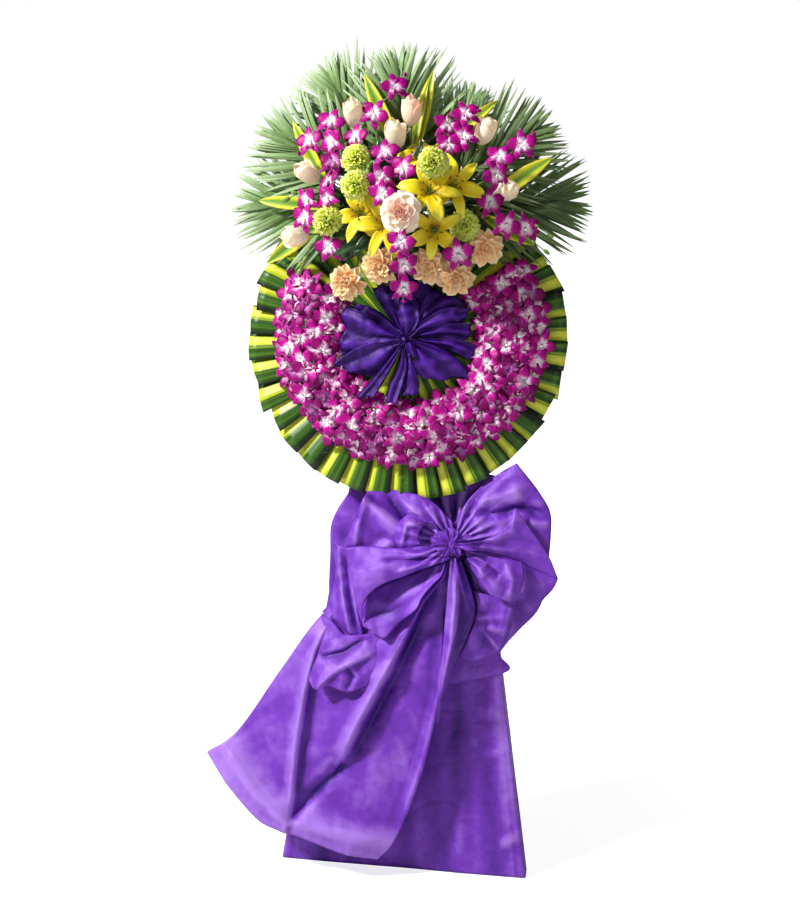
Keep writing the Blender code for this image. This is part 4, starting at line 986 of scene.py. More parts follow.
def rose(stems):
    """One open rose: petals set a golden turn apart, upright in its heart and spreading outside."""
    bm = new_shape()
    draw = random.Random(4)
    place = facing((14, -266, 219), 0, 0, 20)
    count = 26
    for k in range(count):
        share = k / (count - 1)
        rise = 88 - 80 * share**0.8
        turn = turned(GOLDEN_TURN * k) @ Matrix.Translation((0.8 + 5 * share, 0, -14 + 2 * (1 - share)))
        bend = (rise, rise - 34 * share - 8)
        petal(bm, place @ turn, 20 + 17 * share, 5.5 + 13 * share**0.8, bend, broad=0.62, blunt=0.5, root=0.5,
              cup=0.8 * (1 - share) + 0.14, ruffle=2.0 * share, waves=1.2, jag=2.0 * share, columns=6, rows=7,
              tint=0.35 + 0.6 * share, kind=max(0, 0.9 - 1.5 * share), phase=draw.uniform(0, 6))
    piece("rose_petals", bm, "rose", ["rose_middle"], thick=0.5)
    base_and_stem(stems, place, (-10, -18, -27), (6, 7, 3), (14, -142.5, 222))


BUDS = {                             # place, yaw, pitch, size and hole
    "bud_top_left": ((-100, -142, 418), -14, 62, 1.0, (-64, -110, 295)),
    "bud_top": ((10, -146, 422), 4, 68, 1.0, (8, -110, 295)),
    "bud_upper": ((-17, -160, 376), -8, 52, 1.05, (-14, -110, 295)),
    "bud_left": ((-187, -142, 306), -50, 24, 1.0, (-115, -110, 276)),
    "bud_upper_right": ((150, -142, 385), 34, 48, 1.0, (92, -110, 295)),
    "bud_right": ((192, -142, 274), 56, 6, 1.0, (115, -110, 260)),
    "bud_low_left": ((-209, -140, 187), -56, -8, 1.0, (-115, -110, 204)),
}
BUD_PROFILE = [                      # radius and level, from the base to the tip
    Vector(point) for point in ((4.0, -32, 0), (14.0, -21, 0), (18.5, -5, 0), (14.5, 13, 0), (2.5, 27, 0))
]


def rosebud(bm, place, size, seed, tint, blush):
    """A closed bud: petals wrapped round each other, the outer ones shorter, with their lips turned out."""
    draw = random.Random(seed)
    count = 6
    for k in range(count):
        outer = k / (count - 1)
        start = GOLDEN_TURN * k + draw.uniform(-14, 14)
        top = 1.0 - 0.24 * outer + draw.uniform(-0.05, 0.05)
        lip = 7.0 * outer * draw.uniform(0.5, 1.2)
        span = 130 + 60 * (1 - outer)

        def shape(u, v):
            side = 2 * u - 1
            share = v * (top - 0.2 * side * side * outer)
            radius, up, _ = curve_point(BUD_PROFILE, share * (len(BUD_PROFILE) - 1))
            radius = radius * (0.78 + 0.22 * outer + 0.08 * u) + lip * v**6 * (1 - 0.6 * side * side)
            angle = math.radians(start + span * side / 2)
            return place @ (Vector((radius * math.cos(angle), radius * math.sin(angle), up)) * size)

        grid(bm, 12, 10, shape, tint + 0.3 * (outer - 0.5), draw.uniform(0, 0.25) + blush)


def buds(stems):
    """Closed rosebuds with five sepals each. The one at the top has the warmest blush."""
    for index, (name, (at, yaw, pitch, size, hole)) in enumerate(BUDS.items()):
        bm = new_shape()
        place = facing(at, yaw, pitch, 40 * index)
        rosebud(bm, place, size, index, 0.3 + 0.1 * index, 0.6 if name == "bud_top" else 0.0)
        piece(f"{name}_petals", bm, "bud", [name], thick=0.5, offset=-1)
        for i in range(5):
            turn = place @ turned(72 * i) @ Matrix.Translation((2, 0, -33 * size))
            petal(stems, turn, 24 * size, 5, (50, 74), broad=0.4, blunt=0.9, root=0.8, cup=0.4, columns=2,
                  rows=5)
        base_and_stem(stems, place, (-25 * size, -34 * size), (6, 3.4), hole)


SPRIGS = (                           # hole in the foam, tip, and the size of the small green buds at the tip
    ((115, -125, 250), (270, -142, 196), 5.0), ((115, -125, 230), (264, -146, 166), 5.0),
    ((-115, -125, 262), (-216, -150, 256), 6.0), ((-115, -125, 226), (-188, -160, 124), 6.0),
    ((-60, -142.5, 280), (-58, -196, 306), 8.5), ((60, -125, 295), (92, -150, 432), 4.5),
)


def sprigs(stems):
    """Thin curved stems that end in small closed green buds."""
    draw = random.Random(31)
    count, stray = 12, 12
    for hole, tip, size in SPRIGS:
        hole, tip = Vector(hole), Vector(tip)
        middle = hole.lerp(tip, 0.55) + Vector((0, -14, 16))
        path = smooth_route([hole, middle, tip], count)
        tube(stems, path, [1.5 - 0.05 * k for k in range(count)], 6, 0.5)
        for k in range(3):
            aside = Vector((draw.uniform(-stray, stray), -6, draw.uniform(-stray, stray)))
            way = (path[-1] - path[-3]) + aside * min(1, k)
            bud = laid(path[-1 - 2 * k], way) @ Matrix.Translation((size, 0, 0))
            own = size * (1 - 0.14 * k)
            shape = Matrix.Diagonal((own * 1.5, own * 0.75, own * 0.75, 1))
            ball(stems, bud @ shape, 0.5 + 0.2 * k, around=10)


# Leaves of the spray


FRONDS = (                           # angle, layer's depth, length and how deep its green is
    (177, 70, 355, 0.15), (150, 86, 345, 0.25), (122, 70, 352, 0.2), (95, 86, 322, 0.15), (62, 70, 278, 0.2),
    (33, 86, 332, 0.75), (5, 70, 352, 1.0),
)


def palm_frond(name, angle, layer, length, green):
    """An arched rachis with long narrow leaflets, folded along their midribs, on both sides."""
    draw = random.Random(angle)
    bm = new_shape()
    axis = Vector((math.cos(math.radians(angle)), 0, math.sin(math.radians(angle))))
    across = Vector((-axis.z, 0, axis.x))
    centre = Vector((FOAM_CENTRE.x, -layer, FOAM_CENTRE.z))
    first, last, pairs, longest = 96, length * 0.8, 30, 172

    def spine(out):
        bend = max(0, out - 0.66 * length) / (0.34 * length)
        return centre + axis * out + Vector((0, 14 * bend**2, 0))

    for side in (-1, 1):
        for i in range(pairs):
            share = i / (pairs - 1)
            root = first + (last - first) * share
            splay = math.radians(52 - 42 * share + draw.uniform(-4, 4))
            along, aside = math.cos(splay), math.sin(splay)
            to_rim = math.sqrt(length**2 - (root * aside) ** 2) - root * along
            reach = min(to_rim * draw.uniform(0.84, 0.99), longest)
            way = axis * along + across * side * aside + Vector((0, draw.uniform(-0.06, 0.1), 0))
            place = laid(spine(root) + Vector((0, -1.5, 0)), way) @ turned(draw.uniform(-25, 25), "X")
            tint = min(1, max(0, green + draw.uniform(-0.2, 0.2)))
            petal(bm, place, reach, 4.6, (9, -13), broad=0.35, blunt=0.7, root=0.5, fold=0.55, columns=2,
                  tint=tint)
    route = [spine(60 + (length * 0.86 - 60) * k / 9) for k in range(10)]
    tube(bm, route, [3.2 - 0.26 * k for k in range(10)], 6, min(1, green + 0.2))
    piece(f"{name}_leaflets", bm, "palm", [name], thick=0.5)


LEAF_TUFTS = {                       # leaves as tip x, tip z, half width, lift and tint, and the tuft's heart
    "striped_leaves_top": (
        ((-89, 497, 14, 4, 0.3), (43, 503, 12, 0, 0.5), (34, 488, 9, 5, 0.7), (168, 448, 12, 6, 0.9)),
        (4, -98, 309)),
    "striped_leaves_left": (
        ((-226, 409, 13, 2, 0.9), (-290, 257, 13, 4, 0.4), (-271, 137, 15, 6, 0.2)), (-129, -98, 242)),
    "striped_leaves_right": (((272, 343, 15, 2, 0.7), (245, 180, 13, 4, 0.3)), (129, -98, 242)),
}


def striped_tufts():
    """Long striped leaves that rise and droop from the heart of each tuft."""
    for name, (leaves, heart) in LEAF_TUFTS.items():
        bm = new_shape()
        heart = Vector(heart)
        for index, (x, z, half, lift, tint) in enumerate(leaves):
            way = Vector((x, heart.y, z)) - heart
            place = laid(heart, way) @ turned(9 * math.sin(index * 2.1), "X")
            rise = 7 + lift
            petal(bm, place, way.length, half, (rise, -rise), broad=0.6, blunt=0.75, root=0.3, fold=0.3,
                  ruffle=1.0, waves=1.5, columns=8, rows=16, tint=tint, phase=index)
        piece(f"{name}_blades", bm, "striped", [name], thick=0.7)


def filler_leaves():
    """Dark leaves that close the gaps behind the blooms. None starts inside the foam."""
    draw = random.Random(21)
    bm = new_shape()
    count = 90
    for i in range(count):
        turn = 2 * math.pi * i / count + draw.uniform(-0.05, 0.05)
        out = Vector((math.cos(turn), 0, math.sin(turn)))
        start = FOAM_CENTRE + out * draw.uniform(20, 70)
        start.y = draw.uniform(-140, -84)
        if start.y > -132 and abs(start.x) < 105 and abs(start.z - FOAM_CENTRE.z) < 48:
            start.y = FOAM_FRONT - 1.5
        way = out + Vector((0, draw.uniform(-0.5, 0.25), 0))
        petal(bm, laid(start, way), draw.uniform(60, 104), draw.uniform(11, 17), (12, -26), broad=0.5,
              blunt=0.8, root=0.15, fold=0.25, ruffle=1.0, columns=4, rows=7, tint=draw.random(), phase=i)
    piece("filler_leaves", bm, "dark_leaf", thick=0.6)


def foam_block():
    """The block of flower foam, with rounded edges and a cut, crumbly surface."""
    bm = new_shape()
    place = Matrix.Translation(FOAM_CENTRE) @ Matrix.Diagonal((*FOAM_SIZE, 1))
    bmesh.ops.create_cube(bm, size=0.985, matrix=place)
    bmesh.ops.bevel(bm, geom=bm.edges[:], offset=4, segments=3, profile=0.5, affect="EDGES", material=-1)
    bmesh.ops.subdivide_edges(bm, edges=bm.edges[:], cuts=3, use_grid_fill=True)
    for vert in bm.verts:
        vert.co += Vector((1, 1, 1)) * 0.6 * noise.noise(vert.co * 0.2)
    piece("foam_block", bm, "foam", ["flower_foam"])


# Rosette


ROSETTE_CENTRE, ROSETTE_MIDDLE = Vector((-6, -82, -2)), Vector((5, -104, -2))
ROSETTE_LOBES = (                    # each lobe's two edges from the middle outwards, and how far it bulges
    (((-1, -104, 6), (-30, -100, 34), (-62, -96, 51), (-98, -90, 60)),
     ((-1, -104, 2), (-36, -104, 9), (-72, -100, 23), (-116, -88, 38)), 5),
    (((-1, -106, 2), (-32, -108, 13), (-72, -104, 27), (-115, -90, 36)),
     ((-5, -102, -4), (-37, -98, -12), (-72, -94, -22), (-113, -86, -12)), 8),
    (((-9, -104, -7), (-31, -106, -10), (-58, -106, -18), (-115, -92, -56)),
     ((-5, -102, -11), (-24, -100, -38), (-44, -94, -62), (-88, -86, -71)), 8),
    (((-4, -106, -13), (-29, -104, -46), (-50, -102, -73), (-80, -106, -111)),
     ((0, -106, -17), (-15, -108, -44), (-32, -108, -73), (-56, -110, -114)), 4),
    (((0, -106, -17), (-5, -104, -53), (-19, -106, -90), (-25, -110, -123)),
     ((4, -108, -17), (9, -108, -49), (3, -108, -79), (-11, -112, -122)), 4),
    (((5, -104, -19), (4, -104, -53), (0, -104, -87), (10, -108, -112)),
     ((13, -106, -18), (22, -106, -48), (30, -104, -79), (29, -106, -96)), 3),
    (((6, -110, -5), (9, -116, -15), (15, -114, -35)),
     ((16, -112, -5), (22, -118, -13), (28, -112, -29)), 3),
    (((15, -106, -11), (27, -108, -33), (39, -104, -56), (65, -94, -74)),
     ((19, -106, -7), (54, -108, -21), (86, -104, -39), (109, -92, -69)), 8),
    (((19, -110, -5), (54, -112, -17), (85, -108, -34), (105, -98, -54)),
     ((19, -108, -3), (53, -106, -10), (87, -100, -24), (116, -94, -50)), 4),
    (((18, -102, -3), (62, -100, -11), (100, -96, -20), (128, -88, -34)),
     ((18, -104, -1), (62, -104, 0), (102, -100, -1), (139, -88, -15)), 5),
    (((14, -102, 1), (52, -100, 4), (90, -96, 7), (123, -88, 4)),
     ((14, -104, 3), (48, -104, 15), (86, -100, 27), (128, -90, 25)), 5),
    (((12, -104, 4), (44, -104, 17), (82, -100, 29), (115, -90, 38)),
     ((12, -106, 6), (41, -108, 33), (78, -104, 53), (122, -92, 53)), 6),
    (((11, -100, 6), (36, -98, 28), (65, -94, 51), (104, -86, 64)),
     ((10, -102, 8), (28, -100, 43), (47, -96, 77), (70, -86, 92)), 5),
    (((3, -108, 8), (-5, -110, 34), (-10, -106, 57), (-8, -98, 72)),
     ((15, -108, 6), (28, -110, 31), (24, -106, 54), (15, -98, 75)), 5),
    (((6, -100, 8), (-1, -98, 42), (-5, -92, 77), (0, -84, 113)),
     ((11, -100, 6), (31, -98, 43), (45, -92, 74), (37, -84, 116)), 5),
    (((2, -102, 6), (-24, -100, 36), (-43, -94, 66), (-55, -86, 91)),
     ((4, -104, 8), (-8, -104, 42), (-14, -100, 72), (-18, -88, 99)), 5),
)


def rosette():
    """Gathered cloth: folded lobes that spread from a pinned middle, each doubled back under itself."""
    draw = random.Random(17)
    bm = new_shape()
    columns, rows = 20, 24
    for first, second, bulge in ROSETTE_LOBES:
        first, second = along_edge(first, rows + 1), along_edge(second, rows + 1)
        away = ((first[-1] + second[-1]) / 2 - ROSETTE_MIDDLE).normalized()
        phase = draw.uniform(0, 1)
        folds = 0.9 + 0.1 * bulge + draw.uniform(-0.2, 0.2)
        slant = draw.uniform(-0.3, 0.3)
        wider = 1.2 + 0.012 * bulge * bulge
        for doubled in (False, True):

            def shape(u, v):
                i = round(v * rows)
                side = 2 * u - 1
                point = first[i].lerp(second[i], 0.5 + 0.5 * side * (1 + (wider - 1) * v))
                width = (first[i] - second[i]).length
                wave = abs(2 * ((folds * (u + phase) + 0.12 * v) % 1) - 1)
                point += away * width * v**3 * (slant * side + 0.22 * wave)
                up = 0.45 * bulge * (1 - side * side) + (1.1 * bulge + 2) * (wave - 0.5) * (1 - 0.35 * v)
                up += 4.0 * v * crumple(point, 38, phase * 9)
                up *= min(1, 0.25 + 2.2 * v)
                if doubled:
                    up = -up * 0.5 - 2.5 * (1 - v) - 5 * math.sin(math.pi * v)
                return point - Vector((0, up, 0))

            # Painted shade in the lobes' valleys and painted highlight on their creases, through the tint
            paint_crease_shade(bm, grid(bm, columns, rows, shape), columns, rows)
    lobes = piece("rosette_lobes", bm, "dark_cloth", ["rosette"], thick=0.6)
    rosette_heart(draw)


def rosette_heart(draw):
    """The short ruffles round the middle, the neck that carries the rosette, and its pin."""
    core = new_shape()
    ruffles = 16
    for k in range(ruffles):
        turn = turned(360 * k / ruffles + draw.uniform(-9, 9), "Y")
        place = Matrix.Translation(ROSETTE_MIDDLE) @ turn @ turned(draw.uniform(65, 115), "X")
        petal(core, place, draw.uniform(18, 44), 4.0, (22, -26), broad=0.45, blunt=0.9, root=0.9, fold=1.4,
              ruffle=1.0, columns=4, rows=8, phase=k)
    button = Matrix.Translation(ROSETTE_MIDDLE - Vector((0, 9, 0))) @ Matrix.Diagonal((6, 6, 5, 1))
    ball(core, button, around=12, along=8)
    neck = [ROSETTE_CENTRE + Vector((0, y, 0)) for y in (20, 4, -16)]
    tube(core, neck, [9, 9, 12], 12)
    piece("rosette_heart", core, "dark_cloth", ["rosette"], thick=0.6)
    pin = new_shape()
    ball(pin, Matrix.Translation(ROSETTE_MIDDLE - Vector((0, 15, 0))) @ Matrix.Scale(1.6, 4))
    piece("rosette_pin", pin, "nail")


# Cloth on the stand


def along_edge(points, count):
    """Count points, evenly spread, on a smooth curve through an edge's points."""
    fine = smooth_route([Vector(p) for p in points], 16 * (len(points) - 1) + 1)
    along = [0.0]
    for p, q in zip(fine, fine[1:]):
        along.append(along[-1] + (q - p).length)
    found, k = [], 0
    for i in range(count):
        want = along[-1] * i / (count - 1)
        while k < len(fine) - 2 and along[k + 1] < want:
            k += 1
        share = (want - along[k]) / max(along[k + 1] - along[k], 1e-9)
        found.append(fine[k].lerp(fine[k + 1], min(max(share, 0), 1)))
    return found


def patch(top, bottom, left, right, columns, rows):
    """A surface between four edges, as a function of u from left to right and v downwards, each from 0 to 1
    in steps of one column or row."""
    top, bottom = along_edge(top, columns + 1), along_edge(bottom, columns + 1)
    left, right = along_edge(left, rows + 1), along_edge(right, rows + 1)

    def surface(u, v):
        i, j = round(u * columns), round(v * rows)
        corners = (1 - v) * ((1 - u) * top[0] + u * top[-1]) + v * ((1 - u) * bottom[0] + u * bottom[-1])
        return (1 - v) * top[i] + v * bottom[i] + (1 - u) * left[j] + u * right[j] - corners
    return surface


def dome(u, v, power):
    """1 in the middle of a surface, falling to 0 along its four edges."""
    u, v = min(max(u, 0), 1), min(max(v, 0), 1)
    return math.sin(math.pi * u) ** power * math.sin(math.pi * v) ** power


def crumple(point, size, seed=0.0):
    """Flat facets between straight creases that cross each other, from about -1 to 1."""
    total = 0.0
    for angle, share in ((20, 0.6), (88, 0.45), (143, 0.35)):
        turn = math.radians(angle + 67 * seed)
        shift = Vector((seed * 3.1 + angle, seed, seed * 1.7))
        along = point.x * math.cos(turn) + point.z * math.sin(turn) + 0.5 * point.y
        along = along / size + 1.2 * noise.noise(point / (1.5 * size) + shift)
        strong = 0.55 + 1.3 * noise.noise(point / (1.1 * size) - shift)
        total += share * max(0.1, strong) * (4 * abs(along % 1 - 0.5) - 1)
    return total


# Steps for the painted shade in the cloth's valleys and the painted highlight on its creases
CREASE_SHADE_STEPS = ((3, 0.05), (9, 0.014))    # how many points away the cloth is compared, and how much it counts


def paint_crease_shade(bm, made, columns, rows):
    """Marks each point of a grid with how far it stands out from the cloth round it: high on creases, a
    painted highlight, and low in valleys, painted shade.
    """
    across = columns + 1
    heights = [vert.co.y for vert in made]
    tints = bm.verts.layers.float["tint"]
    for j in range(rows + 1):
        for i in range(across):
            k = j * across + i
            lift = 0.0
            for step, share in CREASE_SHADE_STEPS:
                if step <= i <= columns - step:
                    lift += share * ((heights[k - step] + heights[k + step]) / 2 - heights[k])
                if step <= j <= rows - step:
                    pair = heights[k - step * across] + heights[k + step * across]
                    lift += share * (pair / 2 - heights[k])
            made[k][tints] = 0.5 + 0.4 * math.tanh(2 * lift)


def pleats(point, count, reach, phase=0.0):
    """Folds that run out from the knot, sharp near it and gone at reach."""
    away = point - KNOT
    angle = math.atan2(away.z, away.x)
    distance = math.hypot(away.x, away.z)
    wave = abs(math.sin(count * angle / 2 + phase + 0.6 * math.sin(2 * angle)))
    return (1 - 2 * wave) * math.exp(-((distance / reach) ** 2)) * min(1, distance / 24)


def fold_rise(point, folds):
    """Height of the folds at a point. Each has a line, a height and a width on either side of its crest.
    A fold that starts at the knot grows from nothing there."""
    total = 0.0
    for line, height, ahead, behind in folds:
        best = None
        for k, ((x0, z0), (x1, z1)) in enumerate(zip(line, line[1:])):
            dx, dz = x1 - x0, z1 - z0
            t = ((point.x - x0) * dx + (point.z - z0) * dz) / (dx * dx + dz * dz)
            t = min(max(t, 0), 1)
            px, pz = point.x - x0 - t * dx, point.z - z0 - t * dz
            distance = math.hypot(px, pz)
            if best is None or distance < best[0]:
                best = (distance, dx * pz - dz * px > 0, (k + t) / (len(line) - 1))
        distance, left, share = best
        from_knot = math.hypot(line[0][0] - KNOT.x, line[0][1] - KNOT.z) < 60
        grown = min(1, 0.12 + 1.7 * share) if from_knot else 1.0
        wide = (ahead if left else behind) * grown
        taper = min(1, 5 * min(share, 1 - share) + 0.3)
        total += height * taper * grown * max(0.0, 1 - distance / wide) ** 1.6
    return total


SKIRT_FOLDS = (                      # as fold_rise takes them
    (((255, 262), (225, 266), (170, 246)), 3, 14, 22), (((262, 92), (244, 84), (205, 60)), 6, 16, 24),
    (((250, 60), (205, 58)), -3, 10, 12), (((150, 340), (215, 330)), 2, 16, 20),
    (((120, 300), (128, 120), (122, 20)), 2.5, 20, 20), (((-215, 60), (-205, 8)), 3, 10, 14),
)


def cloth(name, surface, columns, rows, push, nodes, pale=None):
    """A sheet of cloth: a surface pushed towards the viewer by push(point, u, v), and paler where pale(u, v)
    says."""
    bm = new_shape()

    def shape(u, v):
        point = surface(u, v)
        return point - Vector((0, push(point, u, v), 0))

    verts = grid(bm, columns, rows, shape)
    # Painted shade in the valleys and painted highlight on the creases, through the tint
    paint_crease_shade(bm, verts, columns, rows)
    # pale(u, v) adds painted light and shade on the tails and random streaks on the skirt
    if pale:
        tints = bm.verts.layers.float["tint"]
        for k, vert in enumerate(verts):
            vert[tints] += pale(k % (columns + 1) / columns, k // (columns + 1) / rows)
    made = piece(name, bm, "cloth", nodes, FACE, CLOTH_THICK)


def skirt():
    """The cloth stretched over the front of the legs and folded round their outer sides."""
    top, hem, wrap, off_legs, off_side = 650, 1.5, 34, 0.9, 2.8

    def surface(u, v):
        level = top + (hem - top) * v
        edge = half_span(level) + LEG_WIDTH / 2 + off_side
        x = (2 * u - 1) * (edge + wrap)
        y = -off_legs - 2 * math.sin(math.pi * min(1, abs(x) / edge)) ** 2
        if abs(x) > edge:
            y = -off_legs + abs(x) - edge
            x = math.copysign(edge, x)
        return Vector((EASEL_X + x, y, level + 0.15 * max(0, y)))

    def push(point, u, v):
        away = min(1, min(u, 1 - u) * 9)
        stretched = Vector((point.x * 1.2, 0, point.z * 0.5))
        creases = 2.2 * crumple(stretched, 130, 3.0) + fold_rise(point, SKIRT_FOLDS)
        return max(0.2, away * (2.0 + creases) * min(1, 6 * (1 - v) + 0.3))

    def streaked(u, v):
        """Lighter and darker streaks down the skirt, which is also made a little darker overall."""
        return 0.34 * noise.noise(Vector((16 * u, 1.6 * v, 5))) - 0.1

    cloth("skirt_cloth", surface, 88, 84, push, ["skirt"],
          streaked)


def swag():
    """The loose upper cloth behind the bow, gathered towards the knot."""
    columns, rows = 90, 90
    surface = patch(
        ((-109, -14, 778), (-14, -10, 795), (66, -10, 808), (145, -12, 812), (222, -14, 796)),
        ((-130, -7, 400), (-16, -7, 372), (108, -7, 387), (202, -7, 413)),
        ((-109, -14, 778), (-148, -20, 706), (-150, -24, 640), (-150, -20, 540), (-130, -7, 400)),
        ((222, -14, 796), (274, -26, 737), (278, -30, 660), (286, -28, 612), (267, -24, 549), (229, -16, 503),
         (195, -12, 457), (216, -9, 428), (202, -7, 413)), columns, rows)

    def push(point, u, v):
        """How far the folds stand out. The small teeth of the torn hem move the point itself."""
        folds = 12 * pleats(point, 17, 210) + 6 * crumple(point, 90)
        point.z += 2.4 * abs(math.sin(40 * u)) * max(0, v - 0.97) * 33
        return dome(u, v, 0.5) * (9 + folds)

    cloth("swag_cloth", surface, columns, rows, push, ["swag"])


